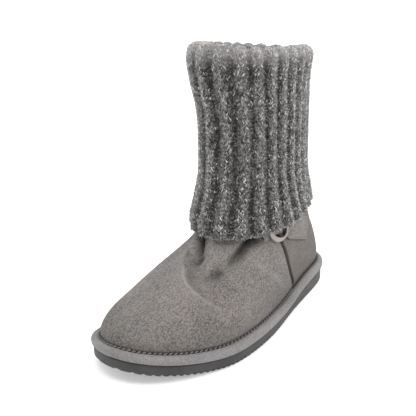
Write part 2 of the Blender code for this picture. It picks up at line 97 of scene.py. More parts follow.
OUTLINE = (
    # along from the heel, outer, inner, as shares of the ball width
    (0.025, 0.190, 0.180),
    (0.080, 0.307, 0.290),
    (0.170, 0.364, 0.338),
    (0.300, 0.414, 0.350),
    (0.420, 0.474, 0.362),
    (0.550, 0.526, 0.395),
    (0.660, 0.537, 0.445),
    (0.760, 0.500, 0.478),
    (0.860, 0.385, 0.452),
    (0.940, 0.232, 0.385),
    (0.985, 0.060, 0.265),
)
TOE_TIP_SHIFT = -0.105
UPPER_RIBS = (
    # round, lower out, lower up, upper in, upper down
    (0.00, 0.01, 0.42, 1.00, 0.20),
    (0.16, 0.20, 0.46, 0.91, 0.41),
    (0.33, 0.02, 0.38, 0.84, 0.70),
    (0.50, 0.00, 0.35, 0.70, 0.69),
    (0.67, 0.08, 0.30, 0.85, 0.60),
    (0.84, 0.03, 0.58, 1.12, 0.41),
)
SHAFT = (
    # up, depth, width, centre behind, centre beside
    (0.00, 1.000, 1.000, 0.146, 0.000),
    (0.10, 0.940, 0.938, 0.145, 0.000),
    (0.25, 0.853, 0.876, 0.141, 0.011),
    (0.45, 0.839, 0.858, 0.140, 0.011),
    (0.65, 0.847, 0.869, 0.140, 0.000),
    (0.85, 0.899, 0.933, 0.138, -0.032),
    (0.95, 0.922, 0.961, 0.138, -0.032),
    (1.00, 0.907, 0.942, 0.138, -0.032),
)
TOP_LINE = (
    # degrees from the front towards the outer side, rise as a share of the wave
    (0.0, 0.75),
    (60.0, -0.50),
    (120.0, 0.25),
    (180.0, -0.75),
    (240.0, 0.25),
    (300.0, 1.00),
)


# Curves


def ease(t):
    """Smooth step from 0 to 1: 3 t squared less 2 t cubed, held at both ends."""
    t = np.clip(t, 0, 1)
    return t * t * (3 - 2 * t)


def bell(distance, width):
    """Soft bump: 1 at no distance, falling as a Gaussian of that width."""
    return np.exp(-((distance / width) ** 2))


def smooth_curve(places, values, at, period=None):
    """Cubic through table rows, with slopes from the rows on either side."""
    places = np.asarray(places, float)
    values = np.asarray(values, float).reshape(len(places), -1)
    at = np.asarray(at, float)
    if period:
        places = np.concatenate([places[-2:] - period, places, places[:2] + period])
        values = np.concatenate([values[-2:], values, values[:2]])
        at = at % period
    slopes = np.gradient(values, places, axis=0)
    row = np.clip(np.searchsorted(places, at, side="right") - 1, 0, len(places) - 2)
    step = (places[row + 1] - places[row])[:, None]
    t = ((at - places[row]) / step[:, 0])[:, None]
    start = (1 + 2 * t) * (1 - t) ** 2 * values[row]
    end = t * t * (3 - 2 * t) * values[row + 1]
    bend = t * (1 - t) ** 2 * slopes[row] - t * t * (1 - t) * slopes[row + 1]
    return start + end + bend * step


def closed_spline(points, shares):
    """Round cubic B-spline through the points, read at shares of its length."""
    points = np.asarray(points, float)
    count = len(points)
    one = np.eye(count)
    blend = (4 * one + np.roll(one, 1, 0) + np.roll(one, -1, 0)) / 6
    control = np.linalg.solve(blend, points)
    fine = np.linspace(0, count, count * 40, endpoint=False)
    span = fine.astype(int)
    t = (fine - span)[:, None]
    weights = (
        (1 - t) ** 3 / 6,
        (3 * t**3 - 6 * t**2 + 4) / 6,
        (-3 * t**3 + 3 * t**2 + 3 * t + 1) / 6,
        t**3 / 6,
    )
    curve = sum(w * control[(span + k - 1) % count] for k, w in enumerate(weights))
    curve = np.vstack([curve, curve[:1]])
    run = np.concatenate([[0], np.cumsum(np.linalg.norm(np.diff(curve, axis=0), axis=1))])
    at = (np.asarray(shares) % 1.0) * run[-1]
    return np.column_stack([np.interp(at, run, curve[:, 0]), np.interp(at, run, curve[:, 1])])


def wobble(at, waves, seed):
    """Sum of sines round the boot: a small unevenness between -1 and 1."""
    draw = np.random.default_rng(seed)
    total = 0.0
    for wave in waves:
        total = total + np.sin(2 * np.pi * (wave * at + draw.random())) / len(waves)
    return total


# Sole shapes


def along_sole(y):
    """Share of the sole's length from the heel."""
    return 0.5 - y / SOLE_LENGTH


def sole_outline(shares):
    """Plan of the sole: a closed spline through the outline table's rows."""
    outer = [(row[1] * BALL_WIDTH, SOLE_LENGTH * (0.5 - row[0])) for row in OUTLINE]
    inner = [(-row[2] * BALL_WIDTH, SOLE_LENGTH * (0.5 - row[0])) for row in OUTLINE]
    toe = [(TOE_TIP_SHIFT * BALL_WIDTH, -SOLE_LENGTH / 2)]
    heel = [(0.0, SOLE_LENGTH / 2)]
    return closed_spline(toe + outer[::-1] + heel + inner, shares)


def plan_tangents(shares):
    """Unit directions along the outline, from the toe tip to the outer side."""
    way = sole_outline(shares + 0.004) - sole_outline(shares - 0.004)
    return way / np.linalg.norm(way, axis=1)[:, None]


def inset_outline(shares, inset):
    """Outline moved in, square to itself, by the inset."""
    way = plan_tangents(shares)
    return sole_outline(shares) - np.column_stack([way[:, 1], -way[:, 0]]) * inset


def toe_lift(y):
    """Rise of the forefoot towards the toe tip, a power of the way there."""
    t = (along_sole(y) - TOE_SPRING_START) / (1 - TOE_SPRING_START)
    return TOE_SPRING * np.clip(t, 0, 1) ** TOE_SPRING_POWER


def sole_under(y):
    """Underside of the outsole: toe spring and a low sine squared arch."""
    start, end = ARCH_SPAN
    t = np.clip((along_sole(y) - start) / (end - start), 0, 1)
    return toe_lift(y) + ARCH_RISE * np.sin(np.pi * t) ** 2


def at_heel(y):
    """1 under the heel, eased down to 0 in front of it."""
    full, none = HEEL_RISE_SPAN
    return ease((none - along_sole(y)) / (none - full))


def outsole_top(y):
    """Upper face of the outsole, thicker under the heel."""
    return OUTSOLE_THICKNESS + HEEL_RISE * at_heel(y) + toe_lift(y)


def band_bottom(y):
    """Underside of the side band, a gap above the outsole."""
    return outsole_top(y) + GAP


def band_height(y):
    """Height of the side band, greater at the heel."""
    return BAND_HEIGHT + (BAND_HEEL_HEIGHT - BAND_HEIGHT) * at_heel(y)


def band_top(y):
    """Top of the side band's rolled rim."""
    return band_bottom(y) + band_height(y)


def floor_height(y):
    """Upper face of the band's board, on which the upper and the insole stand."""
    return band_bottom(y) + BAND_FLOOR


def rows_toe_to_heel(count):
    """Places from -1 at the toe tip to 1 at the heel, closer at both ends."""
    return -np.cos(np.pi * np.linspace(0, 1, count))


def ring_by_rows(inset, places, height):
    """Ring of the inset outline with its points opposite each other.

    The places are shares of the half length. The ring goes from the toe tip
    along the outer side to the heel and back along the inner side.
    """
    fine = inset_outline(np.linspace(0, 1, 4001), inset)
    toe = int(np.argmin(fine[:, 1]))
    fine = np.roll(fine[:-1], -toe, axis=0)
    fine = np.vstack([fine, fine[:1]])
    heel = int(np.argmax(fine[:, 1]))
    y = fine[0, 1] + (fine[heel, 1] - fine[0, 1]) * (places + 1) / 2
    outer = np.interp(y, fine[: heel + 1, 1], fine[: heel + 1, 0])
    inner = np.interp(y, fine[heel:, 1][::-1], fine[heel:, 0][::-1])
    x = np.concatenate([outer, inner[-2:0:-1]])
    y = np.concatenate([y, y[-2:0:-1]])
    return np.column_stack([x, y, height(y)])


# Leg and upper shapes


def shaft_section(height):
    """Half depth, half width and centre (y, x) of the shaft's outer face."""
    rise = (np.ravel(height) - HEM_HEIGHT) / (SHAFT_HEIGHT - HEM_HEIGHT)
    table = np.array(SHAFT)
    shares = smooth_curve(table[:, 0], table[:, 1:], np.clip(rise, 0, 1))
    return shares * (SHAFT_DEPTH / 2, SHAFT_WIDTH / 2, SOLE_LENGTH, SHAFT_WIDTH)


def leg_points(angles, height, depth_in):
    """Ellipse round the leg at each height, the given depth inside its outer face."""
    angles, height, depth_in = np.broadcast_arrays(angles, height, depth_in)
    half_depth, half_width, centre_y, centre_x = (
        column.reshape(angles.shape) for column in shaft_section(height).T
    )
    x = centre_x + (half_width - depth_in) * np.sin(angles)
    y = centre_y - (half_depth - depth_in) * np.cos(angles)
    return np.stack([x, y, height], axis=-1)


def upper_face(shares, rows):
    """Outer face of the upper: cubic ribs from the band's rim to the collar."""
    shares, rows = np.broadcast_arrays(shares, rows)
    shape = shares.shape
    shares = shares.ravel()
    t = rows.ravel()[:, None]
    plan = inset_outline(shares, RIM_WIDTH + CURVED_GAP)
    foot = np.column_stack([plan, band_top(plan[:, 1])])
    collar = leg_points(2 * np.pi * shares, COLLAR_HEIGHT, KNIT + LAYER_GAP)
    table = np.array(UPPER_RIBS)
    handles = smooth_curve(table[:, 0], table[:, 1:], shares, period=1.0)
    out, up, into, down = (handles[:, k : k + 1] for k in range(4))
    near = 3 * t * (1 - t) ** 2
    far = 3 * t * t * (1 - t)
    travel = far * into + t**3 - near * out
    rise = near * up + far * down + t**3
    way = collar - foot
    points = foot + np.column_stack([travel * way[:, :2], rise * way[:, 2:]])
    return points.reshape(shape + (3,))


def surface_normals(face, first, second, step=0.004):
    """Unit normals of a two-parameter face, from central differences."""
    along = face(first + step, second) - face(first - step, second)
    upward = face(first, second + step) - face(first, second - step)
    normals = np.cross(along, upward)
    return normals / np.linalg.norm(normals, axis=-1)[..., None]


def lean_shares(shares, rows):
    """Shares moved towards the toe, most at the side seams and at the collar."""
    return shares - SEAM_LEAN * rows**SEAM_LEAN_POWER * np.sin(2 * np.pi * shares)


def find_on_side(y, z):
    """Share and row of the upper's outer side at each (y, z).

    The nearest point of a grid starts a few Newton steps.
    """
    y, z = np.broadcast_arrays(np.asarray(y, float), np.asarray(z, float))
    grid_shares, grid_rows = np.meshgrid(np.linspace(0.02, 0.48, 140), np.linspace(0, 1.05, 80))
    grid = upper_face(grid_shares, grid_rows)
    away = (grid[..., 1].ravel()[None] - y.ravel()[:, None]) ** 2
    away += (grid[..., 2].ravel()[None] - z.ravel()[:, None]) ** 2
    nearest = away.argmin(axis=1)
    share = grid_shares.ravel()[nearest]
    row = grid_rows.ravel()[nearest]
    step = 0.002
    for _ in range(4):
        here = upper_face(share, row)
        by_share = (upper_face(share + step, row) - here) / step
        by_row = (upper_face(share, row + step) - here) / step
        miss_y = y.ravel() - here[:, 1]
        miss_z = z.ravel() - here[:, 2]
        det = by_share[:, 1] * by_row[:, 2] - by_share[:, 2] * by_row[:, 1]
        share = share + (miss_y * by_row[:, 2] - miss_z * by_row[:, 1]) / det
        row = row + (by_share[:, 1] * miss_z - by_share[:, 2] * miss_y) / det
    return share.reshape(y.shape), row.reshape(y.shape)


# The solids stand with the middle of their outline over the origin
band_ring = ring_by_rows(-BAND_PROUD, rows_toe_to_heel(200), band_top)
band_low, band_high = (np.array(corner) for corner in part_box("side_band"))
own_middle = (band_ring.min(axis=0) + band_ring.max(axis=0)) / 2
OFFSET = (band_low + band_high) / 2 - own_middle
OFFSET[2] = 0.0


# Meshes


def grid_faces(rows, columns, close_rows=False, close_columns=True):
    """Quads between neighbouring rows and columns of a grid of points."""
    row = np.arange(rows if close_rows else rows - 1)[:, None]
    column = np.arange(columns if close_columns else columns - 1)[None, :]
    above = (row + 1) % rows
    beside = (column + 1) % columns
    quads = np.stack([row * columns + column, row * columns + beside,
                      above * columns + beside, above * columns + column], axis=-1)
    return quads.reshape(-1, 4)


def cross_points(ring, count):
    """Grid straight across a ring made by ring_by_rows, outer side first."""
    half = len(ring) // 2
    outer = ring[: half + 1]
    inner = np.vstack([ring[:1], ring[: half - 1 : -1]])
    t = np.linspace(0, 1, count)[None, :, None]
    return (1 - t) * outer[:, None] + t * inner[:, None]


def add_piece(name, parts, material, replaced=(), attributes=None, weld=False):
    """Mesh object from (points, faces) pairs, facing outwards, on the root body."""
    points = []
    faces = []
    first = 0
    for part_points, part_faces in parts:
        part_points = np.asarray(part_points, float).reshape(-1, 3)
        points.append(part_points)
        faces += (np.asarray(part_faces) + first).tolist()
        first += len(part_points)
    points = np.concatenate(points) + OFFSET
    mesh = bpy.data.meshes.new(name)
    mesh.from_pydata(points.tolist(), [], faces)
    for title, values in (attributes or {}).items():
        layer = mesh.attributes.new(title, "FLOAT", "POINT")
        layer.data.foreach_set("value", np.asarray(values, np.float32).ravel())
    work = bmesh.new()
    work.from_mesh(mesh)
    if weld:
        bmesh.ops.remove_doubles(work, verts=work.verts, dist=1e-6)
    bmesh.ops.recalc_face_normals(work, faces=work.faces)
    work.to_mesh(mesh)
    work.free()
    mesh.shade_smooth()
    mesh.materials.append(material)
    item = bpy.data.objects.new(name, mesh)
    bpy.context.scene.collection.objects.link(item)
    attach(item, "root")
    if replaced:
        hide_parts(*replaced)
    return item


def tube_along(paths, radii, sides):
    """Tubes round many paths at once.

    Each path is an array of points, and a round section of the given radius
    stands square to the path's direction at each of them.
    """
    paths = np.asarray(paths, float)
    count, length, _ = paths.shape
    way = np.gradient(paths, axis=1)
    way /= np.linalg.norm(way, axis=2)[..., None]
    side = np.cross(way, np.array([0.31, 0.22, 0.92]))
    side /= np.linalg.norm(side, axis=2)[..., None]
    other = np.cross(way, side)
    turn = 2 * np.pi * np.arange(sides) / sides
    spoke = side[:, :, None] * np.cos(turn)[:, None] + other[:, :, None] * np.sin(turn)[:, None]
    radii = np.broadcast_to(radii, (count, length))
    points = paths[:, :, None] + spoke * radii[:, :, None, None]
    one = grid_faces(length, sides)
    faces = one[None] + (np.arange(count) * length * sides)[:, None, None]
    return points.reshape(-1, 3), faces.reshape(-1, 4)


def capsule_radii(length, radius):
    """Radii along a stitch: full in the middle, round down to a point at each end."""
    t = np.linspace(-1, 1, length)
    return radius * np.sqrt(np.clip(1 - t**4, 0, 1))


def spindles(roots, middles, tips, radius):
    """Hairs: a root and a tip joined through three points round the middle."""
    way = tips - roots
    way = way / np.linalg.norm(way, axis=1)[:, None]
    side = np.cross(way, np.array([0.31, 0.22, 0.92]))
    side = side / np.linalg.norm(side, axis=1)[:, None]
    other = np.cross(way, side)
    turn = 2 * np.pi * np.arange(3) / 3
    spoke = side[:, None] * np.cos(turn)[:, None] + other[:, None] * np.sin(turn)[:, None]
    waist = middles[:, None] + spoke * radius
    points = np.concatenate([roots[:, None], waist, tips[:, None]], axis=1)
    one = np.array([(0, 2, 1), (0, 3, 2), (0, 1, 3), (4, 1, 2), (4, 2, 3), (4, 3, 1)])
    faces = one[None] + 5 * np.arange(len(roots))[:, None, None]
    return points.reshape(-1, 3), faces.reshape(-1, 3)


# Materials


class Finish:
    """Material with one Principled shader and short calls for its nodes."""

    def __init__(self, name, roughness, metallic=0.0, sheen=0.0, specular=0.5):
        self.material = bpy.data.materials.new(name)
        self.material.use_nodes = True
        self.tree = self.material.node_tree
        self.shader = self.tree.nodes["Principled BSDF"]
        self.shader.inputs["Roughness"].default_value = roughness
        self.shader.inputs["Metallic"].default_value = metallic
        self.shader.inputs["Sheen Weight"].default_value = sheen
        self.shader.inputs["Sheen Roughness"].default_value = 0.55
        self.shader.inputs["Specular IOR Level"].default_value = specular
        self.place = self.tree.nodes.new("ShaderNodeTexCoord").outputs["Object"]

    def noise(self, scale, detail=3.0, stretch=(1, 1, 1), turn=(0, 0, 0), roughness=0.5):
        """Noise on the object's own metres, drawn out along an axis."""
        mapping = self.tree.nodes.new("ShaderNodeMapping")
        mapping.inputs["Scale"].default_value = stretch
        mapping.inputs["Rotation"].default_value = turn
        texture = self.tree.nodes.new("ShaderNodeTexNoise")
        texture.inputs["Scale"].default_value = scale
        texture.inputs["Detail"].default_value = detail
        texture.inputs["Roughness"].default_value = roughness
        self.tree.links.new(self.place, mapping.inputs["Vector"])
        self.tree.links.new(mapping.outputs["Vector"], texture.inputs["Vector"])
        return texture.outputs["Fac"]

    def attribute(self, name):
        """Number painted on the mesh's points."""
        node = self.tree.nodes.new("ShaderNodeAttribute")
        node.attribute_name = name
        return node.outputs["Fac"]

    def math(self, operation, first, second):
        """One sum or product, of node outputs or plain numbers."""
        node = self.tree.nodes.new("ShaderNodeMath")
        node.operation = operation
        for socket, value in zip(node.inputs, (first, second)):
            if isinstance(value, (int, float)):
                socket.default_value = value
            else:
                self.tree.links.new(value, socket)
        return node.outputs[0]

    def span(self, value, low, high, to_low=0.0, to_high=1.0):
        """Value brought from one range to another and held inside it."""
        node = self.tree.nodes.new("ShaderNodeMapRange")
        self.tree.links.new(value, node.inputs["Value"])
        ends = {"From Min": low, "From Max": high, "To Min": to_low, "To Max": to_high}
        for name, number in ends.items():
            node.inputs[name].default_value = number
        return node.outputs["Result"]

    def mix(self, share, first, second):
        """Colour between two, each a colour or another node's colour."""
        node = self.tree.nodes.new("ShaderNodeMix")
        node.data_type = "RGBA"
        self.tree.links.new(share, node.inputs[0])
        for socket, value in zip((node.inputs[6], node.inputs[7]), (first, second)):
            if isinstance(value, tuple):
                socket.default_value = (*value, 1.0)
            else:
                self.tree.links.new(value, socket)
        return node.outputs[2]

    def colour(self, value):
        """Sends a node's colour to the shader."""
        self.tree.links.new(value, self.shader.inputs["Base Color"])

    def relief(self, *layers):
        """Bumps one over another, each a height, its depth and its strength."""
        before = None
        for height, depth, strength in layers:
            node = self.tree.nodes.new("ShaderNodeBump")
            node.inputs["Distance"].default_value = depth
            node.inputs["Strength"].default_value = strength
            self.tree.links.new(height, node.inputs["Height"])
            if before:
                self.tree.links.new(before, node.inputs["Normal"])
            before = node.outputs["Normal"]
        self.tree.links.new(before, self.shader.inputs["Normal"])


def suede_finish(name, dark, light, nap=1.0):
    """Brushed nap: speckled grain, short strokes, soft clouds, painted shade in folds and seams, and
    painted highlights on ridges and edges.
    """
    finish = Finish(name, 0.95, sheen=0.06, specular=0.12)
    speck = finish.noise(760.0, detail=3.0, roughness=0.75)
    strokes = finish.noise(520.0, detail=3.0, stretch=(1.0, 0.35, 0.7), turn=(0.2, 0.1, 0.5))
    cloud = finish.noise(30.0, detail=4.0)
    share = finish.math("MULTIPLY", finish.span(speck, 0.43, 0.57), 0.66 * nap)
    share = finish.math("ADD", share, finish.math("MULTIPLY", finish.span(strokes, 0.36, 0.64), 0.20 * nap))
    share = finish.math("ADD", share, finish.math("MULTIPLY", finish.span(cloud, 0.36, 0.64), 0.24))
    warm = finish.span(finish.noise(17.0, detail=2.0), 0.42, 0.60)
    pale = finish.mix(warm, light, tuple(a * b for a, b in zip(light, (1.02, 0.975, 0.95))))
    colour = finish.mix(share, dark, pale)
    # painted shade: darker in creases, seam troughs, under the knit's hem, low on the upper and under cut
    # edges
    colour = finish.mix(finish.attribute("painted_shade"), colour, tuple(0.07 * value for value in dark))
    # painted highlight: paler on fold ridges, on the seam's lip and on the upper side of cut edges
    painted_highlight_share = finish.span(finish.attribute("painted_highlight"), 0.0, 1.0, 0.0, 0.70)
    colour = finish.mix(painted_highlight_share, colour, tuple(1.25 * value for value in light))
    on_heel = finish.span(finish.attribute("heel"), 0.0, 1.0, 0.0, 0.45)
    colour = finish.mix(on_heel, colour, tuple(a * b for a, b in zip(dark, (1.12, 1.02, 0.95))))
    finish.colour(colour)
    finish.relief((strokes, 0.0010, 0.7), (speck, 0.0012, 0.9))
    return finish.material


def knit_finish():
    """Marled wool: streaks along the stitches, painted shade in the grooves, pale flecks, and a paler fold
    top.
    """
    finish = Finish("marled wool", 1.0, sheen=0.26, specular=0.1)
    streak = finish.noise(660.0, detail=4.0, stretch=(1.0, 1.0, 0.5), roughness=0.75)
    patch = finish.noise(210.0, detail=3.0, stretch=(1.0, 1.0, 0.6))
    tone = finish.math("ADD", finish.math("MULTIPLY", streak, 0.72), finish.math("MULTIPLY", patch, 0.20))
    tone = finish.math("ADD", tone, finish.math("MULTIPLY", finish.attribute("shade"), 0.08))
    yarn = finish.mix(finish.span(tone, 0.455, 0.585), (0.013, 0.012, 0.0115), (0.350, 0.337, 0.328))
    fleck = finish.span(finish.noise(620.0, detail=2.0, stretch=(1.0, 1.0, 0.6)), 0.62, 0.67)
    yarn = finish.mix(finish.math("MULTIPLY", fleck, 0.50), yarn, (0.70, 0.68, 0.66))
    # painted shade: darker where the depth attribute is low, in the grooves and between stitches
    in_groove = finish.span(finish.attribute("depth"), 0.10, 0.85, 0.95, 0.0)
    yarn = finish.mix(in_groove, yarn, (0.010, 0.0095, 0.009))
    # paler at the fold's top and the hem's edge: partly pale fuzz, partly a painted highlight
    fuzz_and_highlight_share = finish.span(finish.attribute("pale"), 0.0, 1.0, 0.0, 0.30)
    yarn = finish.mix(fuzz_and_highlight_share, yarn, (0.40, 0.385, 0.375))
    finish.colour(yarn)
    finish.relief((patch, 0.0006, 0.4), (streak, 0.0012, 0.8))
    return finish.material


def fuzz_finish():
    """Loose pale wool fibres."""
    finish = Finish("wool fuzz", 1.0, sheen=0.3, specular=0.1)
    tone = finish.noise(300.0)
    finish.colour(finish.mix(finish.span(tone, 0.40, 0.60), (0.10, 0.096, 0.093), (0.74, 0.72, 0.705)))
    return finish.material


def fleck_finish():
    """Pale ends of yarn that stand out of the marl."""
    finish = Finish("pale flecks", 1.0, sheen=0.1, specular=0.1)
    tone = finish.noise(240.0)
    finish.colour(finish.mix(finish.span(tone, 0.35, 0.65), (0.40, 0.385, 0.375), (0.80, 0.78, 0.76)))
    return finish.material


def fleece_finish():
    """Short curly pile."""
    finish = Finish("fleece pile", 1.0, sheen=0.3, specular=0.1)
    curl = finish.noise(420.0, detail=4.0, roughness=0.6)
    finish.colour(finish.mix(finish.span(curl, 0.3, 0.7), (0.13, 0.118, 0.108), (0.34, 0.315, 0.295)))
    finish.relief((curl, 0.0015, 0.9))
    return finish.material


def rubber_finish():
    """Smooth moulded rubber with a faint cloudiness."""
    finish = Finish("outsole rubber", 0.62, specular=0.35)
    cloud = finish.noise(60.0, detail=4.0)
    grain = finish.noise(1500.0, detail=2.0)
    dark = (0.025, 0.0242, 0.025)
    light = (0.039, 0.0378, 0.039)
    finish.colour(finish.mix(finish.span(cloud, 0.35, 0.65), dark, light))
    finish.relief((grain, 0.0002, 0.3))
    return finish.material


def thread_finish(name, dark, light):
    """Twisted thread."""
    finish = Finish(name, 0.8, sheen=0.2, specular=0.2)
    twist = finish.noise(1600.0, detail=2.0)
    finish.colour(finish.mix(finish.span(twist, 0.35, 0.65), dark, light))
    finish.relief((twist, 0.0003, 0.6))
    return finish.material


def ring_finish():
    """Satin plated metal with fine brushing."""
    finish = Finish("satin ring metal", 0.42, metallic=0.6)
    brushing = finish.noise(900.0, detail=3.0, stretch=(0.2, 1.0, 1.0))
    finish.colour(finish.mix(finish.span(brushing, 0.3, 0.7), (0.19, 0.165, 0.158), (0.29, 0.255, 0.245)))
    finish.relief((brushing, 0.0001, 0.25))
    return finish.material


# Outsole


TOOTH_COUNT = 60
TOOTH_DEPTH = 0.0019
TOOTH_STEPS = (0.0, 0.28, 0.36, 0.50, 0.64, 0.72)


def tooth_depth(y):
    """Depth of the tread's grooves: a soft-edged notch once in each pitch."""
    place = (along_sole(y) * TOOTH_COUNT) % 1.0
    notch = ease((0.24 - np.abs(place - 0.5)) / 0.10)
    return TOOTH_DEPTH * notch


def on_pad(y):
    """1 on the two plain pads' stretches of the sole's length, otherwise 0."""
    total = 0.0
    for share in PAD_SHARES:
        total = total + (np.abs(along_sole(y) - share) < PAD_SIZE / 2 / SOLE_LENGTH)
    return np.minimum(total, 1)


def make_tread_sole(finish):
    """Outsole: a stack of rings up its side, and strips across its face.

    The lowest rings rise into the tread's notches, and the strips under the
    foot carry the same notches across, apart from the two plain pads.
    """
    steps = (np.arange(TOOTH_COUNT)[:, None] + np.array(TOOTH_STEPS)) / TOOTH_COUNT
    tips = 0.5 * (1 - np.cos(np.pi * np.linspace(0, 1, 90)))
    tips = tips[(tips < 0.03) | (tips > 0.97)]
    places = 2 * np.unique(np.concatenate([steps.ravel(), tips, [1.0]])) - 1
    chamfer = 0.0012
    wall = (
        # inset, height share, share of the notch
        (chamfer, 0.0, 1.0),
        (0.35 * chamfer, 0.06, 0.95),
        (0.0, 0.15, 0.80),
        (0.0, 0.34, 0.0),
        (0.0, 0.65, 0.0),
        (0.0, 0.93, 0.0),
        (0.0006, 1.0, 0.0),
    )

    def level(share, notch):
        return lambda y: sole_under(y) + share * (outsole_top(y) - sole_under(y)) + notch * tooth_depth(y)

    rings = [ring_by_rows(inset, places, level(share, notch)) for inset, share, notch in wall]
    side = np.concatenate(rings)
    top = cross_points(rings[-1], 3)
    under_ring = ring_by_rows(chamfer, places, sole_under)
    under = cross_points(under_ring, 7)
    half = PAD_SIZE / 2
    for column, edge in ((1, half + 0.0005), (2, half), (4, -half), (5, -half - 0.0005)):
        under[:, column, 0] = np.clip(edge, under[:, 6, 0], under[:, 0, 0])
    notch = tooth_depth(under[..., 1])
    notch[:, 2:5] *= 1 - on_pad(under[:, 2:5, 1])
    under[..., 2] += notch
    parts = [
        (side, grid_faces(len(rings), len(rings[0]))),
        (top, grid_faces(top.shape[0], top.shape[1], close_columns=False)),
        (under, grid_faces(under.shape[0], under.shape[1], close_columns=False)),
    ]
    item = add_piece("tread_sole", parts, finish, ("outsole",), weld=True)
    item.data.set_sharp_from_angle(angle=np.radians(50))
    return item


# Side band


BAND_PROFILE = (
    # along the profile, inset, share of the band's height
    (0.00, 0.0006, 0.00),
    (0.10, -0.0009, 0.10),
    (0.24, -0.0015, 0.30),
    (0.38, -0.0016, 0.52),
    (0.52, -0.0009, 0.76),
    (0.64, 0.0008, 0.93),
    (0.78, 0.0027, 1.00),
    (0.90, 0.0042, 0.98),
    (1.00, 0.0050, 0.86),
)
BEAD_PLACE = 0.83
BEAD_WIDTH = 0.022
BEAD_DEPTH = 0.0006
BEAD_START = -0.015
BEAD_FADE = 0.050
RIM_SHADE_START = 0.88
BAND_WAVER = 0.00022


def bead_share(y):
    """1 towards the heel, where the bead shows, eased from 0 where it starts."""
    return ease((y - BEAD_START) / BEAD_FADE)


def make_side_band(finish):
    """Wrapped band: a smooth profile carried round the outline.

    Towards the heel a fine groove parts a thin bead from the band's top edge.
    The profile's height wavers a little, as a wrapped strip does.
    """
    places = rows_toe_to_heel(260)
    near_bead = BEAD_PLACE + np.linspace(-0.06, 0.06, 13)
    along = np.unique(np.concatenate([np.linspace(0, 1, 30), near_bead]))
    table = np.array(BAND_PROFILE)
    profile = smooth_curve(table[:, 0], table[:, 1:], along)
    rings = []
    for place, (inset, share) in zip(along, profile):
        ring = ring_by_rows(inset, places, lambda y, s=share: band_bottom(y) + s * band_height(y))
        round_it = np.arange(len(ring)) / len(ring)
        waver = wobble(round_it, (7, 13, 22, 41), 3) * BAND_WAVER * np.sin(np.pi * place)
        groove = BEAD_DEPTH * bell(place - BEAD_PLACE, BEAD_WIDTH) * bead_share(ring[:, 1])
        ring[:, 2] += waver - groove
        rings.append(ring)
    rings.append(ring_by_rows(RIM_WIDTH, places, floor_height))
    floor = cross_points(rings[-1], 3)
    bottom = cross_points(rings[0], 3)
    side = np.concatenate(rings)
    parts = [
        (side, grid_faces(len(rings), len(rings[0]))),
        (floor, grid_faces(floor.shape[0], floor.shape[1], close_columns=False)),
        (bottom, grid_faces(bottom.shape[0], bottom.shape[1], close_columns=False)),
    ]
    # painted shade in the bead's groove and along the rim's top, where the band meets the upper
    at_bead = 0.8 * bell(along - BEAD_PLACE, BEAD_WIDTH)[:, None] * bead_share(rings[0][:, 1])
    at_rim = 0.75 * ease((along - RIM_SHADE_START) / 0.10)[:, None]
    painted_shade = (at_bead + at_rim).ravel()
    rest = len(rings[0]) + floor.size // 3 + bottom.size // 3
    painted_shade = np.concatenate([painted_shade, np.zeros(rest)])
    return add_piece("side_band_cover", parts, finish, ("side_band",),
                     {"painted_shade": painted_shade, "painted_highlight": np.zeros(len(painted_shade))}, weld=True)


STITCH_PITCH = 0.0043
STITCH_LENGTH = 0.0040
STITCH_RADIUS = 0.00056
STITCH_SLOPE = 0.0016
STITCH_INSET = RIM_WIDTH - 0.0007
STITCH_SEAM_GAP = 0.012
OUTLINE_RUN = 0.675


def make_rim_stitches(finish):
    """Slanted stitches in the join between the band's rim and the upper."""
    reach = SEAM_SHARE - STITCH_SEAM_GAP
    count = int(2 * reach * OUTLINE_RUN / STITCH_PITCH)
    centre = np.linspace(-reach, reach, count)
    steps = np.linspace(-0.5, 0.5, 6)
    shares = centre[:, None] + steps * STITCH_LENGTH / OUTLINE_RUN
    inset = STITCH_INSET + steps[None] * STITCH_SLOPE + 0 * shares
    plan = sole_outline(shares.ravel())
    way = plan_tangents(shares.ravel())
    plan = plan - np.column_stack([way[:, 1], -way[:, 0]]) * inset.ravel()[:, None]
    rise = 0.0003 + 0.0006 * (1 - (2 * steps[None]) ** 2) + 0.0007 * steps[None] + 0 * shares
    height = band_top(plan[:, 1]) + rise.ravel()
    paths = np.column_stack([plan, height]).reshape(count, len(steps), 3)
    part = tube_along(paths, capsule_radii(len(steps), STITCH_RADIUS)[None], 6)
    return add_piece("rim_stitches", [part], finish, weld=True)


# Suede upper


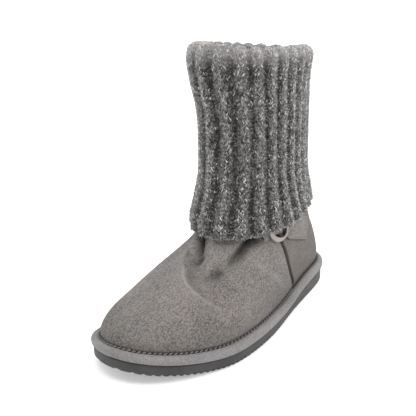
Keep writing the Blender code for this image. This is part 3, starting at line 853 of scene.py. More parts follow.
FOLDS = (
    # rise, shade as painted shade below 0 and painted highlight above, width on the
    # right of the way, width on its left, and the way itself in mm: x, y, z
    (-0.0048, -0.72, 0.0056, 0.0017, ((-9, -22, 89), (-6, -26.8, 83.6), (-2.4, -32, 78.4),
                                      (1.1, -37.6, 73.5), (4.6, -42.8, 69.5))),
    (-0.0016, -0.34, 0.0024, 0.0040, ((4.2, -42, 70), (3.8, -45.2, 68.3), (0.5, -46, 68.2),
                                      (-3, -45, 68.6))),
    (-0.0050, -0.80, 0.0023, 0.0062, ((33, -5, 86), (28.4, -13.5, 81.5), (27.4, -18.8, 77.8),
                                      (26.8, -24, 74.4), (26, -29, 71.6))),
    (-0.0022, -0.18, 0.0045, 0.0060, ((28, -27.5, 71.6), (25.5, -37.5, 67.2), (22.5, -47, 63.6),
                                      (20.6, -53, 61.6))),
    (-0.0024, -0.38, 0.0050, 0.0050, ((23.6, -46, 64), (20.4, -53.5, 61.2))),
    (-0.0024, -0.16, 0.0024, 0.0085, ((-9.5, -43.5, 68.4), (-3.5, -51, 64.9), (3.4, -58.8, 61.5),
                                      (11.6, -65, 58.4), (19, -68.4, 56))),
    (0.0022, 0.16, 0.0090, 0.0016, ((-9, -46.5, 66.8), (-4.4, -54.4, 63.4), (1.5, -61.8, 60.5),
                                    (9.4, -68, 57.7), (20, -71.9, 54.7), (32.1, -72.8, 50.6),
                                    (42.1, -68.2, 46))),
    (0.0006, 0.80, 0.0013, 0.0010, ((-4.4, -54.4, 63.4), (1.5, -61.8, 60.5), (9.4, -68, 57.7),
                                    (20, -71.9, 54.7), (32.1, -72.8, 50.6), (42.1, -68.2, 46))),
    (0.0034, 0.25, 0.0022, 0.0085, ((0.5, -22, 89), (4, -27.5, 83), (7, -33, 77), (9, -38, 73),
                                    (11, -43, 69.4))),
    (0.0020, 0.20, 0.0090, 0.0042, ((28.5, -7, 87), (25.5, -14, 82.4), (24.2, -21, 77.8),
                                    (23.4, -28, 73.4))),
    (0.0016, 0.15, 0.0060, 0.0060, ((-16, -26, 84), (-13, -36, 75), (-9.5, -44, 69))),
    (0.0016, 0.10, 0.0080, 0.0080, ((38, -16, 78), (36, -28, 70), (33, -40, 64))),
    (0.0008, 0.30, 0.0020, 0.0040, ((43.8, -16, 63.5), (46.5, -3, 52), (46.8, 10, 41), (45, 24, 29))),
    (0.0007, 0.00, 0.0120, 0.0120, ((-30, -30, 74), (-34, -44, 60), (-36, -60, 48))),
    # soft folds of the inner side and the heel, where the photo doesn't look
    (-0.0022, -0.20, 0.0065, 0.0065, ((-33, -2, 86), (-30, -16, 78), (-24, -32, 70))),
    (-0.0016, -0.12, 0.0060, 0.0060, ((-40, 22, 72), (-42, 6, 60), (-42, -12, 50))),
    (-0.0016, -0.12, 0.0070, 0.0070, ((-18, 108, 66), (0, 112, 62), (18, 108, 66))),
)
INSIDE_WIDEN = 1.9
SEAM_TROUGH = 0.0024
SEAM_WIDTH = 0.0010
SEAM_LINE = 0.0014
SEAM_LIP = 0.0008
HEM_SHADE = 0.42
HEM_SHADE_REACH = 0.0055


def near_path(points, normals, path):
    """Distance from each point to a path of straight stretches, and its share.

    The distance is negative on the right of the way, seen from outside the
    boot. The share is how far along the path the nearest place lies.
    """
    path = np.asarray(path, float) / 1000.0
    best = np.full(points.shape[:-1], 1e9)
    side = np.ones(points.shape[:-1])
    share = np.zeros(points.shape[:-1])
    for k in range(len(path) - 1):
        way = path[k + 1] - path[k]
        t = np.clip((points - path[k]) @ way / (way @ way), 0, 1)
        from_path = points - path[k] - t[..., None] * way
        away = np.linalg.norm(from_path, axis=-1)
        closer = away < best
        best = np.where(closer, away, best)
        side = np.where(closer, (from_path * np.cross(normals, way)).sum(axis=-1), side)
        share = np.where(closer, (k + t) / (len(path) - 1), share)
    return best * np.where(side > 0, 1, -1), share


def fold_relief(points, normals, widen=1.0):
    """Height of the listed folds at each point, and their shade.

    A trough or ridge is a Gaussian across its path, with a width of its own
    on either side, that fades towards the path's end. Its shade is painted
    shade in a trough and a painted highlight on a ridge. Inside the wall the
    same troughs are widened, so that the wall keeps its thickness.
    """
    height = np.zeros(points.shape[:-1])
    shade = np.zeros(points.shape[:-1])
    for rise, tone, right, left, path in FOLDS:
        away, share = near_path(points, normals, path)
        fade = 1 - 0.5 * ease((share - 0.6) / 0.4)
        swell = fade * bell(away, widen * np.where(away > 0, left, right))
        height += rise * swell
        shade += tone * swell
    return height, shade


def seam_offset(shares):
    """Signed share from the nearer side seam, positive on the heel panel."""
    return np.minimum(shares % 1.0, 1 - shares % 1.0) - SEAM_SHARE


def upper_columns():
    """Column shares, close together at the side seams."""
    even = np.arange(420) / 420
    close = np.linspace(-0.009, 0.009, 15)
    return np.unique(np.concatenate([even, SEAM_SHARE + close, 1 - SEAM_SHARE + close]) % 1.0)


def make_suede_upper(finish):
    """Hollow wall with its folds, the side seams and the heel panel's step.

    The seam is a narrow trough with a thin raised lip on the heel side.
    """
    columns = upper_columns()
    rows = np.linspace(0, 1, 160)[:, None]
    shares = lean_shares(columns[None, :], rows)
    points = upper_face(shares, rows)
    normals = surface_normals(upper_face, shares, rows)
    from_seam = seam_offset(columns)[None, :] * OUTLINE_RUN
    step = PANEL_STEP * ease(from_seam / 0.0008 + 0.5)
    trough = -SEAM_TROUGH * bell(from_seam + 0.0004, SEAM_WIDTH)
    lip = SEAM_LIP * bell(from_seam - 0.0017, 0.0008)
    folds, fold_shade = fold_relief(points, normals)
    around = (columns[None, :] + 0 * rows).ravel()
    broad = 0.0004 * wobble(around + 0.13 * np.repeat(rows[:, 0], len(columns)), (5, 9, 14), 11)
    ends = ease(rows / 0.06) * ease((1 - rows) / 0.05)
    relief = (step + trough + lip + broad.reshape(points.shape[:2]) + folds) * ends
    outer = points + normals * relief[..., None]
    inner_rows = np.linspace(1, 0, 56)[:, None]
    inner_shares = lean_shares(columns[None, :], inner_rows)
    inner_normals = surface_normals(upper_face, inner_shares, inner_rows)
    inner = upper_face(inner_shares, inner_rows) - inner_normals * UPPER_WALL
    inner += inner_normals * np.minimum(fold_relief(inner, inner_normals, INSIDE_WIDEN)[0], 0)[..., None]
    foot = inset_outline(columns, RIM_WIDTH + CURVED_GAP)
    foot = np.column_stack([foot, floor_height(foot[:, 1]) + GAP])
    inner_foot = inset_outline(columns, RIM_WIDTH + CURVED_GAP + UPPER_WALL)
    inner_foot = np.column_stack([inner_foot, floor_height(inner_foot[:, 1]) + GAP])
    grid = np.concatenate([foot[None], outer, inner, inner_foot[None]])
    rest = (len(inner) + 1) * len(columns)
    # the seam's dark line widens towards the top, as painted shadow under the ring
    wide = 1 + 1.3 * ease((rows - 0.60) / 0.12)
    # painted shade in the folds' troughs and along the seam's trough
    dark = np.clip(-fold_shade, 0, 1) + 1.8 * bell((from_seam + 0.0004) / wide, SEAM_LINE)
    hem, _ = knit_lines(2 * np.pi * shares)
    below_hem = np.maximum(hem - 0.002 - points[..., 2], 0)
    # painted shadow just below the knit's hem
    dark = dark + HEM_SHADE * bell(below_hem, HEM_SHADE_REACH)
    # painted shade along the join with the band, and a broader painted shade low on the upper
    dark = dark + 0.60 * bell(rows, 0.018) + 0.24 * bell(rows, 0.22)
    # painted highlight on the folds' ridges and on the seam's raised lip
    pale = np.clip(fold_shade, 0, 1) + 0.6 * bell(from_seam - 0.0018, 0.0008)
    painted_shade = np.concatenate([np.zeros(len(columns)), np.clip(dark, 0, 1).ravel(), np.zeros(rest)])
    painted_highlight = np.concatenate([np.zeros(len(columns)), np.clip(pale, 0, 1).ravel(), np.zeros(rest)])
    heel = np.tile(ease(from_seam[0] / 0.0008 + 0.5), grid.shape[0])
    part = (grid, grid_faces(grid.shape[0], grid.shape[1], close_rows=True))
    return add_piece("suede_upper", [part], finish, ("upper",),
                     {"painted_shade": painted_shade, "painted_highlight": painted_highlight, "heel": heel})


def make_fleece_lining(finish):
    """Pile inside the upper: the inner face moved in, with small curls."""
    columns = np.arange(180) / 180
    rows = np.linspace(0.04, 0.98, 70)[:, None]
    shares = lean_shares(columns[None, :], rows)
    points = upper_face(shares, rows)
    normals = surface_normals(upper_face, shares, rows)
    back = points - normals * (UPPER_WALL + 0.0004)
    draw = np.random.default_rng(5)
    curls = 0.0014 + 0.0009 * draw.random(points.shape[:2])
    pile = back - normals * curls[..., None]
    sink, _ = fold_relief(points, normals, INSIDE_WIDEN)
    for layer in (back, pile):
        layer += normals * np.minimum(sink, 0)[..., None]
    grid = np.concatenate([back, pile[::-1]])
    part = (grid, grid_faces(grid.shape[0], grid.shape[1], close_rows=True))
    return add_piece("fleece_lining", [part], finish)


def make_insole_cover(finish):
    """Insole with a curly pile on top and a slightly uneven top face."""
    places = rows_toe_to_heel(150)
    inset = RIM_WIDTH + CURVED_GAP + UPPER_WALL + CURVED_GAP
    base = ring_by_rows(inset, places, lambda y: floor_height(y) + GAP)
    rim = ring_by_rows(inset, places, lambda y: floor_height(y) + GAP + 0.8 * INSOLE_THICKNESS)
    edge = ring_by_rows(inset + 0.0015, places, lambda y: floor_height(y) + GAP + INSOLE_THICKNESS)
    top = cross_points(edge, 34)
    draw = np.random.default_rng(9)
    top[1:-1, 1:-1, 2] += 0.0008 * draw.random(top[1:-1, 1:-1, 2].shape) - 0.0004
    bottom = cross_points(base, 3)
    parts = [
        (np.concatenate([base, rim, edge]), grid_faces(3, len(base))),
        (top, grid_faces(top.shape[0], top.shape[1], close_columns=False)),
        (bottom, grid_faces(bottom.shape[0], bottom.shape[1], close_columns=False)),
    ]
    return add_piece("insole_cover", parts, finish, ("insole",), weld=True)


# Knit shaft


STITCH_ROWS = 45
FOLD_STITCHES = 7
STEPS_PER_STITCH = 4
COLUMNS_PER_RIB = 16
GROOVE_COLUMNS = 4
RIB_RELIEF = 0.0034
LEG_RELIEF = 0.0015
PURL_RELIEF = 0.0014
STITCH_SLANT = 0.55
RIB_ROUNDNESS = 0.75
FOLD_RADIUS = KNIT + FOLD_GAP / 2
FOLD_SHARE = FOLD_STITCHES / STITCH_ROWS


def rib_angles(phases):
    """Angle round the leg for each rib phase, with close ribs at the sides."""
    fine = np.linspace(-0.5, 2 * np.pi + 0.5, 4000)
    phase = RIB_COUNT * fine - RIB_SPREAD * np.sin(2 * fine) - RIB_TURN
    return np.interp(phases, phase, fine)


def knit_lines(angles):
    """Heights of the hem and of the fold's top round the leg."""
    toward_heel = -np.cos(angles) * SHAFT_DEPTH / 2
    table = np.array(TOP_LINE)
    rise = smooth_curve(table[:, 0], table[:, 1], np.degrees(np.ravel(angles)), period=360.0)
    top = SHAFT_HEIGHT + TOP_WAVE * rise[:, 0].reshape(np.shape(angles)) + TOP_TILT * toward_heel
    hem = HEM_HEIGHT + HEM_TILT * toward_heel
    return hem, top


def knit_face(angles, way):
    """Face of the knit from the hem (0) up to the fold (1), over it and down inside.

    Outside it follows the shaft's table and swells over the ring. The fold is
    a half circle, and inside the wall goes down to the collar.
    """
    angles, way = np.broadcast_arrays(angles, way)
    hem, top = knit_lines(angles)
    crown = top - FOLD_RADIUS
    centre_y = shaft_section(HEM_HEIGHT)[0, 2]
    ring_angle = np.arctan2(RING_CENTRE[0], centre_y - RING_CENTRE[1])
    outside = hem + way * (crown - hem)
    room = RING_ROOM * bell(angles - ring_angle, 2 * RING_ROOM_WIDTH / SHAFT_WIDTH)
    swell = room * ease(1 - (outside - hem) / RING_ROOM_HEIGHT)
    turn = np.pi * np.clip((way - 1) / FOLD_SHARE, 0, 1)
    inside = crown - (way - 1 - FOLD_SHARE) * (crown - COLLAR_HEIGHT - GAP)
    layer = LAYER_GAP + (FOLD_GAP - LAYER_GAP) * ease(1 - (crown - inside) / FOLD_REACH)
    height = np.where(way < 1, outside, crown + FOLD_RADIUS * np.sin(turn))
    depth = np.where(way < 1, -swell, FOLD_RADIUS * (1 - np.cos(turn)))
    past = way > 1 + FOLD_SHARE
    height = np.where(past, inside, height)
    depth = np.where(past, 2 * KNIT + layer, depth)
    return leg_points(angles, height, depth)


def stitch_pattern(column):
    """Relief across one rib: three plain stitches wide, then a purl groove.

    Gives the rib's round lift, the share of the stitch relief, the slant of
    the stitch and whether the column lies in the groove.
    """
    in_groove = (column < GROOVE_COLUMNS / 2) | (column >= COLUMNS_PER_RIB - GROOVE_COLUMNS / 2)
    lift = (0.5 - 0.5 * np.cos(2 * np.pi * column / COLUMNS_PER_RIB)) ** RIB_ROUNDNESS
    wale = ((column - GROOVE_COLUMNS / 2) % 4) / 4
    off_middle = np.abs(2 * wale - 1)
    leg = np.where(off_middle > 0.9, 0.0, np.where(off_middle > 0.4, 1.0, 0.45))
    purl = ((column + GROOVE_COLUMNS / 2) % COLUMNS_PER_RIB) / GROOVE_COLUMNS
    hump = np.clip(np.sin(np.pi * (purl + 0.12)), 0, 1)
    share = np.where(in_groove, hump, leg)
    slant = np.where(in_groove, 0.0, STITCH_SLANT * (off_middle - 1))
    return lift, share, slant, in_groove


def knit_relief(columns, steps, way):
    """Height of ribs and stitches over the knit's face, its random tone, and its depth, which paints shade
    in the grooves.
    """
    draw = np.random.default_rng(21)
    column = columns % COLUMNS_PER_RIB
    lift, share, slant, in_groove = stitch_pattern(column)
    wave = 0.5 + 0.5 * np.cos(2 * np.pi * steps / STEPS_PER_STITCH)[:, None]
    purl_wave = 0.5 - 0.5 * np.cos(2 * np.pi * steps / STEPS_PER_STITCH)[:, None]
    stitch = np.where(in_groove[None], PURL_RELIEF * share * purl_wave,
                      LEG_RELIEF * share * (0.35 + 0.65 * wave))
    wale = (columns + GROOVE_COLUMNS // 2) // 4
    row = steps // STEPS_PER_STITCH
    table = draw.random((row.max() + 1, wale.max() + 1))
    shade = table[row[:, None], wale[None]]
    uneven = 0.0005 * (shade - 0.5)
    calm = 1 - 0.60 * ease((way - 0.97) / FOLD_SHARE)
    height = RIB_RELIEF * (lift[None] - 1) * calm + stitch + uneven
    # depth paints shade: low on the ribs' sides and between stitches, where shade falls
    depth = (lift**0.8)[None] * (0.28 + 0.72 * share * wave)
    # in the purl grooves the painted shade varies from stitch to stitch
    depth = np.where(in_groove[None], (0.08 + 0.50 * shade) * share * purl_wave, depth)
    # less painted shade towards the fold's top
    depth = depth + 0.25 * ease((way - 0.97) / 0.06)
    return height, shade, depth


def make_knit_shaft(finish):
    """Ribbed tube with its upper half folded down outside, stitch by stitch."""
    columns = np.arange(RIB_COUNT * COLUMNS_PER_RIB)
    angles = rib_angles(2 * np.pi * columns / COLUMNS_PER_RIB)
    steps = np.arange((STITCH_ROWS + FOLD_STITCHES) * STEPS_PER_STITCH)
    _, _, slant, _ = stitch_pattern(columns % COLUMNS_PER_RIB)
    way = (steps[:, None] / STEPS_PER_STITCH + slant[None]) / STITCH_ROWS
    near_fold = ease((1.0 - way) / 0.02)
    hem_wave = 0.35 * wobble(angles / (2 * np.pi), (11, 17, 29, 43), 8) / STITCH_ROWS
    way = np.maximum(way, -0.004) + hem_wave[None] * ease(1 - way / 0.08)
    sway = 0.014 * wobble(angles / (2 * np.pi), (5, 9, 16), 4)[None] * np.sin(2.6 * np.pi * way)
    round_leg = angles[None] + sway * near_fold
    height, shade, depth = knit_relief(columns, steps, way)
    face = knit_face(round_leg, way)
    normals = surface_normals(knit_face, round_leg, way)
    outside = face + normals * height[..., None]
    inner_way = np.linspace(1 + FOLD_SHARE, 2 + FOLD_SHARE, 29)[1:, None] + 0 * angles
    inner_round = angles[None] + 0 * inner_way
    lift, _, _, _ = stitch_pattern(columns % COLUMNS_PER_RIB)
    inner_face = knit_face(inner_round, inner_way)
    inner_normals = surface_normals(knit_face, inner_round, inner_way)
    inside = inner_face + inner_normals * (0.0010 * (lift - 1))[None, :, None]
    hem, top = knit_lines(angles)
    under_heights = np.linspace(0, 1, 4)[:, None]
    crown = top - FOLD_RADIUS
    standing = COLLAR_HEIGHT + GAP + under_heights * (crown - COLLAR_HEIGHT - GAP)
    layer = LAYER_GAP + (FOLD_GAP - LAYER_GAP) * ease(1 - (crown - standing) / FOLD_REACH)
    under_inside = leg_points(angles[None], standing, KNIT + layer)
    under_fold = leg_points(angles, crown + FOLD_GAP / 2, np.full(len(angles), KNIT + FOLD_GAP / 2))
    down_rows = np.array([[0.97], [0.6], [0.25], [0.02]])
    outer_face = knit_face(angles[None], down_rows)
    outer_normals = surface_normals(knit_face, angles[None], down_rows)
    under_outside = outer_face - outer_normals * KNIT
    grid = np.concatenate([outside, inside, under_inside, under_fold[None], under_outside])
    plain = (len(grid) - len(outside)) * len(angles)
    shade = np.concatenate([shade.ravel(), np.full(plain, 0.5)])
    # pale: partly pale fuzz, partly a painted highlight, at the fold's top and the hem's edge
    pale = ease((way - 0.92) / 0.10) + 0.35 * ease(1 - way / 0.03)
    pale = np.concatenate([pale.ravel(), np.zeros(plain)])
    # painted shade of the ribs on the faces inside and under the fold
    inner_depth = np.tile(0.25 + 0.75 * lift, len(grid) - len(outside))
    depth = np.concatenate([depth.ravel(), inner_depth])
    part = (grid, grid_faces(grid.shape[0], grid.shape[1], close_rows=True))
    return add_piece("knit_shaft_ribs", [part], finish, ("knit_shaft",),
                     {"shade": shade, "depth": depth, "pale": pale})


def knit_roots(count, draw):
    """Random places on the folded face, most of them on the ribs, with their normals."""
    across_rib = 0.5 + 0.5 * (draw.random(count) - draw.random(count))
    phase = 2 * np.pi * (draw.integers(0, RIB_COUNT, count) + across_rib)
    angles = rib_angles(phase)
    way = draw.random(count) * (1 + FOLD_SHARE)
    lift = (0.5 - 0.5 * np.cos(phase)) ** RIB_ROUNDNESS
    base = knit_face(angles, way)
    normals = surface_normals(knit_face, angles, way)
    return base + normals * (RIB_RELIEF * (lift - 1))[:, None], normals


HAIRS = (
    # name, count, shortest, longest, radius, seed
    ("knit_fuzz", 24000, 0.0009, 0.0024, 0.00010, 33),
    ("knit_stray_hairs", 30000, 0.0016, 0.0056, 0.00008, 34),
)


def make_hairs(name, count, shortest, longest, radius, seed, finish):
    """Loose fibres over the folded face, each bent once at its middle."""
    draw = np.random.default_rng(seed)
    roots, normals = knit_roots(count, draw)
    lean = normals + 0.8 * draw.normal(size=(count, 3))
    lean /= np.linalg.norm(lean, axis=1)[:, None]
    length = shortest + (longest - shortest) * draw.random(count) ** 2
    bend = draw.normal(size=(count, 3)) * length[:, None] * 0.18
    middles = roots + lean * (0.55 * length)[:, None] + bend
    tips = roots + lean * length[:, None] - 0.6 * bend
    part = spindles(roots, middles, tips, radius)
    return add_piece(name, [part], finish)


FLECK_COUNT = 2100
HEM_LOOP_COUNT = 170


def make_flecks(finish):
    """Short pale ends of yarn that lie slanted in the stitches."""
    draw = np.random.default_rng(44)
    count = FLECK_COUNT
    roots, normals = knit_roots(count, draw)
    upward = np.array([0.0, 0.0, 1.0])
    beside = np.cross(normals, upward)
    beside /= np.linalg.norm(beside, axis=1)[:, None]
    slope = np.where(draw.random(count) < 0.5, 1.0, -1.0) * (0.3 + 0.5 * draw.random(count))
    along = np.cross(beside, normals) + slope[:, None] * beside
    length = 0.0014 + 0.0020 * draw.random(count)
    steps = np.linspace(-0.5, 0.5, 5)
    paths = roots[:, None] + along[:, None] * (length[:, None] * steps)[..., None]
    arch = 0.0011 - 0.0016 * steps**2
    paths = paths + normals[:, None] * arch[None, :, None]
    part = tube_along(paths, capsule_radii(5, 0.00027)[None], 5)
    return add_piece("yarn_flecks", [part], finish, weld=True)


def make_hem_loops(finish):
    """Small slack loops of yarn along the hem."""
    draw = np.random.default_rng(12)
    count = HEM_LOOP_COUNT
    angles = 2 * np.pi * (np.arange(count) + 0.6 * draw.random(count)) / count
    steps = np.linspace(0, np.pi, 7)
    width = 0.030 * (0.7 + 0.6 * draw.random(count))
    drop = 0.0013 * (0.5 + draw.random(count))
    round_leg = angles[:, None] + width[:, None] * (np.cos(steps) * 0.5)[None]
    face = knit_face(round_leg, np.full(round_leg.shape, 0.004))
    normals = surface_normals(knit_face, round_leg, np.full(round_leg.shape, 0.006))
    out = 0.0006 * draw.random(count)[:, None] + 0 * steps[None]
    paths = face + normals * (out - 0.0010)[..., None]
    paths[..., 2] += 0.0006 - drop[:, None] * np.sin(steps)[None]
    # the loops take a little painted shade and a little painted highlight, as the knit does
    return add_piece("hem_loops", [tube_along(paths, 0.0006, 6)], finish,
                     attributes={"shade": np.repeat(draw.random(count), len(steps) * 6),
                                 "depth": np.full(count * len(steps) * 6, 0.75),
                                 "pale": np.full(count * len(steps) * 6, 0.3)})


# Ring and straps


RING_BAR = 0.0100
RING_BAND = 0.0046
RING_THICKNESS = 0.0030
STRAP_ANGLE = -20.0
STRAP_REACH = 0.0705
STRAP_WIDTH = 0.022
STRAP_NECK = 0.015


def ring_axes():
    """Centre of the ring and its across, upward and outward directions."""
    offsets = np.array([[0, 0], [1, 0], [-1, 0], [0, 1], [0, -1]]) * RING_OUTER_RADIUS
    y = shaft_section(COLLAR_HEIGHT)[0, 2] - RING_AHEAD
    share, row = find_on_side(y + offsets[:, 0], COLLAR_HEIGHT - RING_DROP + offsets[:, 1])
    spots = upper_face(share, row)
    across = spots[1] - spots[2]
    upward = spots[3] - spots[4]
    across /= np.linalg.norm(across)
    outward = np.cross(across, upward)
    outward /= np.linalg.norm(outward)
    upward = np.cross(outward, across)
    stand = CURVED_GAP + TAB_THICKNESS + GAP + RING_THICKNESS / 2
    return spots[0] + outward * stand, across, upward, outward


RING_CENTRE, RING_ACROSS, RING_UP, RING_OUT = ring_axes()


def ring_radius(turn):
    """Radius of the ring's middle line: a circle, flattened to a bar at the back."""
    radius = RING_OUTER_RADIUS - RING_BAND / 2
    flat = np.clip(np.cos(turn), 0, 1) / RING_BAR
    return (radius ** -6.0 + flat**6) ** (-1 / 6)


def make_ankle_ring(finish):
    """Flat band with round edges, carried round the ring's middle line."""
    turn = 2 * np.pi * np.arange(120)[:, None] / 120
    side = 2 * np.pi * np.arange(20)[None, :] / 20
    spoke = RING_ACROSS * np.cos(turn)[..., None] + RING_UP * np.sin(turn)[..., None]
    slim = 1 - 0.55 * ease(np.cos(turn) + 0.45)
    wide = np.sign(np.cos(side)) * np.abs(np.cos(side)) ** 0.7 * RING_BAND / 2 * slim
    thick = np.sign(np.sin(side)) * np.abs(np.sin(side)) ** 0.7 * RING_THICKNESS / 2 * 0.8
    points = RING_CENTRE + spoke * (ring_radius(turn) + wide)[..., None]
    points = points + RING_OUT * (thick + 0 * turn)[..., None]
    part = (points, grid_faces(120, 20, close_rows=True))
    return add_piece("ankle_ring_metal", [part], finish, ("ankle_ring",))


def strap_face(angle, along, across, lift):
    """Place on a strap: on the upper, eased up to the ring's plane at its bar."""
    turn = np.radians(angle)
    way = np.array([np.cos(turn), np.sin(turn)])
    bar = RING_BAR
    flat_y = way[0] * along - way[1] * across
    flat_z = way[1] * along + way[0] * across
    share, row = find_on_side(RING_CENTRE[1] + flat_y, RING_CENTRE[2] + flat_z)
    surface = upper_face(share, row)
    normal = surface_normals(upper_face, share, row)
    surface = surface + normal * (fold_relief(surface, normal)[0] + PANEL_STEP + lift)[..., None]
    level = RING_CENTRE + RING_ACROSS * flat_y[..., None] + RING_UP * flat_z[..., None]
    level = level + RING_OUT * (lift - CURVED_GAP - RING_THICKNESS / 2 - TAB_THICKNESS)[..., None]
    share_down = ease((along - bar) / RING_BAND)
    proud = ((surface - level) @ RING_OUT) > 0
    share_down = np.where(proud, 1.0, share_down)
    return level + (surface - level) * share_down[..., None]


def strap_grid(angle, first, last, neck, width, tip_round):
    """Closed thin strap: a grid of sections, each a flat oval."""
    along = np.linspace(first, last, 46)
    wide = np.interp(along, (RING_BAR, RING_OUTER_RADIUS + RING_BAND), (neck, width)) / 2
    near_tip = np.clip((along - last + tip_round) / tip_round, 0, 1)
    wide = wide - tip_round * 0.8 * (1 - np.sqrt(1 - 0.999 * near_tip**2))
    around = 2 * np.pi * np.arange(28) / 28
    across = np.sign(np.cos(around)) * np.abs(np.cos(around)) ** 0.35
    up = np.sign(np.sin(around)) * np.abs(np.sin(around)) ** 0.5
    lift = CURVED_GAP + TAB_THICKNESS * (0.5 + 0.5 * up)
    points = strap_face(angle, along[:, None] + 0 * around, wide[:, None] * across[None],
                        lift[None] + 0 * along[:, None])
    # edge marks the cut edge and the tip; under marks its lower and left halves
    edge = np.clip((np.abs(across) - 0.93) / 0.07, 0, 1)[None] + 0 * along[:, None]
    edge = np.maximum(edge, ease((near_tip - 0.9) / 0.1)[:, None])
    under = edge * ((up < 0) | (across < 0))[None]
    return points, edge - under, under


def make_strap(name, node, finish, angle, first, last, neck, width, tip_round):
    """Suede strap that lies on the upper, its cut edge with a painted highlight above and painted shade
    below.
    """
    points, edge, under = strap_grid(angle, first, last, neck, width, tip_round)
    rows, columns = points.shape[:2]
    first_end = np.repeat(points[:1].mean(axis=1, keepdims=True), columns, axis=1)
    last_end = np.repeat(points[-1:].mean(axis=1, keepdims=True), columns, axis=1)
    grid = np.concatenate([first_end, points, last_end])
    # painted highlight on the upper half of the cut edge and on the tip's end, painted shade under it
    painted_highlight = np.concatenate([np.zeros(columns), edge.ravel(), np.ones(columns)])
    painted_shade = np.concatenate([np.zeros(columns), under.ravel(), np.zeros(columns)])
    part = (grid, grid_faces(rows + 2, columns))
    return add_piece(name, [part], finish, (node,),
                     {"painted_shade": painted_shade, "painted_highlight": painted_highlight}, weld=True)


def make_strap_stitches(finish):
    """One row of short stitches inside the strap's edge, below and round its tip."""
    inset = 0.0026
    low = STRAP_WIDTH / 2 - inset
    start = RING_OUTER_RADIUS + 0.004
    runs = [
        (np.linspace(start, STRAP_REACH - 0.004, 28), np.full(28, -low)),
        (np.full(7, STRAP_REACH - inset), np.linspace(-low + 0.003, low - 0.003, 7)),
        (np.linspace(start, STRAP_REACH - 0.004, 28), np.full(28, low)),
    ]
    along = np.concatenate([run[0] for run in runs])
    across = np.concatenate([run[1] for run in runs])
    turned = np.concatenate([np.zeros(28), np.ones(7), np.zeros(28)])
    steps = np.linspace(-0.5, 0.5, 5)
    length = 0.0017
    spread = steps[None] * length
    along = along[:, None] + spread * (1 - turned[:, None])
    across = across[:, None] + spread * turned[:, None]
    lift = CURVED_GAP + TAB_THICKNESS + 0.00025 * (1 - (2 * steps) ** 2) - 0.0001
    paths = strap_face(STRAP_ANGLE, along, across, lift[None] + 0 * along)
    part = tube_along(paths, capsule_radii(5, 0.0003)[None], 6)
    return add_piece("strap_stitches", [part], finish, weld=True)


# Setting


FLOOR_RADIUS = 1.7
BACKDROP_RADIUS = 4.0
BACKDROP_HEIGHT = 2.2
FLOOR_GLOW = (0.28, 0.78)
GLOW_SPAN = (0.5, 1.6)
LIGHT_TARGET = (0.0, 0.0, 0.1)
LIGHTS = (
    # name, place, size, power
    ("right", (1.25, 0.55, 1.05), 0.9, 14.0),
    ("left", (-1.2, -0.5, 0.9), 0.9, 5.0),
    ("top", (0.0, -0.15, 1.6), 1.2, 21.0),
    ("back", (-0.4, 1.2, 1.1), 1.0, 12.0),
)
WORLD_STRENGTH = 0.45
CAMERA_PLACE = (0.2911, -0.3953, 0.2654)
CAMERA_YAW = 38.35
CAMERA_PITCH = -18.47
CAMERA_ROLL = -0.54
CAMERA_LENS = 51.9


def make_floor():
    """Pale floor that curves up into a round backdrop: a smooth step of the radius."""
    turn = 2 * np.pi * np.arange(96)[None, :] / 96
    radius = np.concatenate([[0.0], np.linspace(0.5, BACKDROP_RADIUS, 60)])[:, None]
    climb = ease((radius - FLOOR_RADIUS) / (BACKDROP_RADIUS - FLOOR_RADIUS))
    height = BACKDROP_HEIGHT * climb + 0 * turn
    grid = np.stack([radius * np.cos(turn), radius * np.sin(turn), height], axis=-1)
    mesh = bpy.data.meshes.new("floor")
    mesh.from_pydata(grid.reshape(-1, 3).tolist(), [], grid_faces(61, 96).tolist())
    work = bmesh.new()
    work.from_mesh(mesh)
    bmesh.ops.remove_doubles(work, verts=work.verts, dist=1e-6)
    work.to_mesh(mesh)
    work.free()
    mesh.shade_smooth()
    finish = Finish("pale floor", 0.9, specular=0.05)
    finish.shader.inputs["Base Color"].default_value = (0.80, 0.80, 0.80, 1.0)
    # the floor glows: emission that rises with the radius keeps the backdrop white and lifts the shadow
    # under the boot
    finish.shader.inputs["Emission Color"].default_value = (1.0, 1.0, 1.0, 1.0)
    from_middle = finish.tree.nodes.new("ShaderNodeVectorMath")
    from_middle.operation = "LENGTH"
    finish.tree.links.new(finish.place, from_middle.inputs[0])
    glow = finish.span(from_middle.outputs["Value"], *GLOW_SPAN, *FLOOR_GLOW)
    finish.tree.links.new(glow, finish.shader.inputs["Emission Strength"])
    mesh.materials.append(finish.material)
    floor = bpy.data.objects.new("floor", mesh)
    bpy.context.scene.collection.objects.link(floor)


def add_light(name, place, target, size, power):
    """Square area light aimed at a point."""
    light = bpy.data.lights.new(name, "AREA")
    light.size = size
    light.energy = power
    item = bpy.data.objects.new(name, light)
    item.location = place
    item.rotation_euler = (Vector(target) - Vector(place)).to_track_quat("-Z", "Y").to_euler()
    bpy.context.scene.collection.objects.link(item)


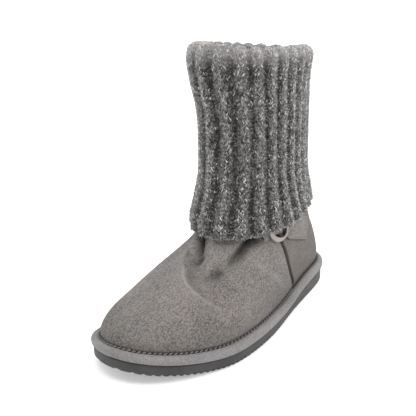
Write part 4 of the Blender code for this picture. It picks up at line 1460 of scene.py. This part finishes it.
def make_camera():
    """Camera at the photo's place and turn, aimed at the middle of the boot."""
    data = bpy.data.cameras.new("camera")
    data.lens = CAMERA_LENS
    data.sensor_width = 36.0
    data.clip_start = 0.01
    camera = bpy.data.objects.new("camera", data)
    camera.location = Vector(CAMERA_PLACE) + Vector(OFFSET)
    aim = Euler((np.radians(90 + CAMERA_PITCH), 0, np.radians(CAMERA_YAW)), "XYZ").to_matrix()
    roll = Euler((0, 0, np.radians(CAMERA_ROLL)), "XYZ").to_matrix()
    camera.rotation_euler = (aim @ roll).to_euler()
    bpy.context.scene.collection.objects.link(camera)
    bpy.context.scene.camera = camera


def make_setting():
    """Floor, four soft lights, a pale world and the camera."""
    make_floor()
    for name, place, size, power in LIGHTS:
        add_light(name, place, LIGHT_TARGET, size, power)
    world = bpy.data.worlds.new("studio")
    world.use_nodes = True
    world.node_tree.nodes["Background"].inputs["Color"].default_value = (1.0, 1.0, 1.0, 1.0)
    world.node_tree.nodes["Background"].inputs["Strength"].default_value = WORLD_STRENGTH
    bpy.context.scene.world = world
    bpy.context.scene.view_settings.view_transform = "Standard"
    make_camera()


def main():
    """Makes each finish and each piece, and then the setting."""
    suede = suede_finish("upper suede", (0.066, 0.0625, 0.059), (0.222, 0.208, 0.197))
    band_suede = suede_finish("band suede", (0.130, 0.126, 0.126), (0.240, 0.234, 0.235), nap=0.8)
    knit = knit_finish()
    fleece = fleece_finish()
    rim_thread = thread_finish("rim thread", (0.085, 0.080, 0.077), (0.185, 0.175, 0.170))
    suede_thread = thread_finish("suede thread", (0.10, 0.092, 0.086), (0.20, 0.185, 0.175))
    make_tread_sole(rubber_finish())
    make_side_band(band_suede)
    make_rim_stitches(rim_thread)
    make_suede_upper(suede)
    make_fleece_lining(fleece)
    make_insole_cover(fleece)
    make_knit_shaft(knit)
    fuzz = fuzz_finish()
    for row in HAIRS:
        make_hairs(*row, fuzz)
    make_flecks(fleck_finish())
    make_hem_loops(knit)
    make_ankle_ring(ring_finish())
    make_strap("rear_strap", "rear_tab", suede, STRAP_ANGLE, RING_BAR, STRAP_REACH,
               STRAP_NECK, STRAP_WIDTH, 0.005)
    make_strap("front_strap", "front_tab", suede, 180.0, -0.005, 0.017, STRAP_NECK, STRAP_WIDTH, 0.001)
    make_strap_stitches(suede_thread)
    make_setting()


main()
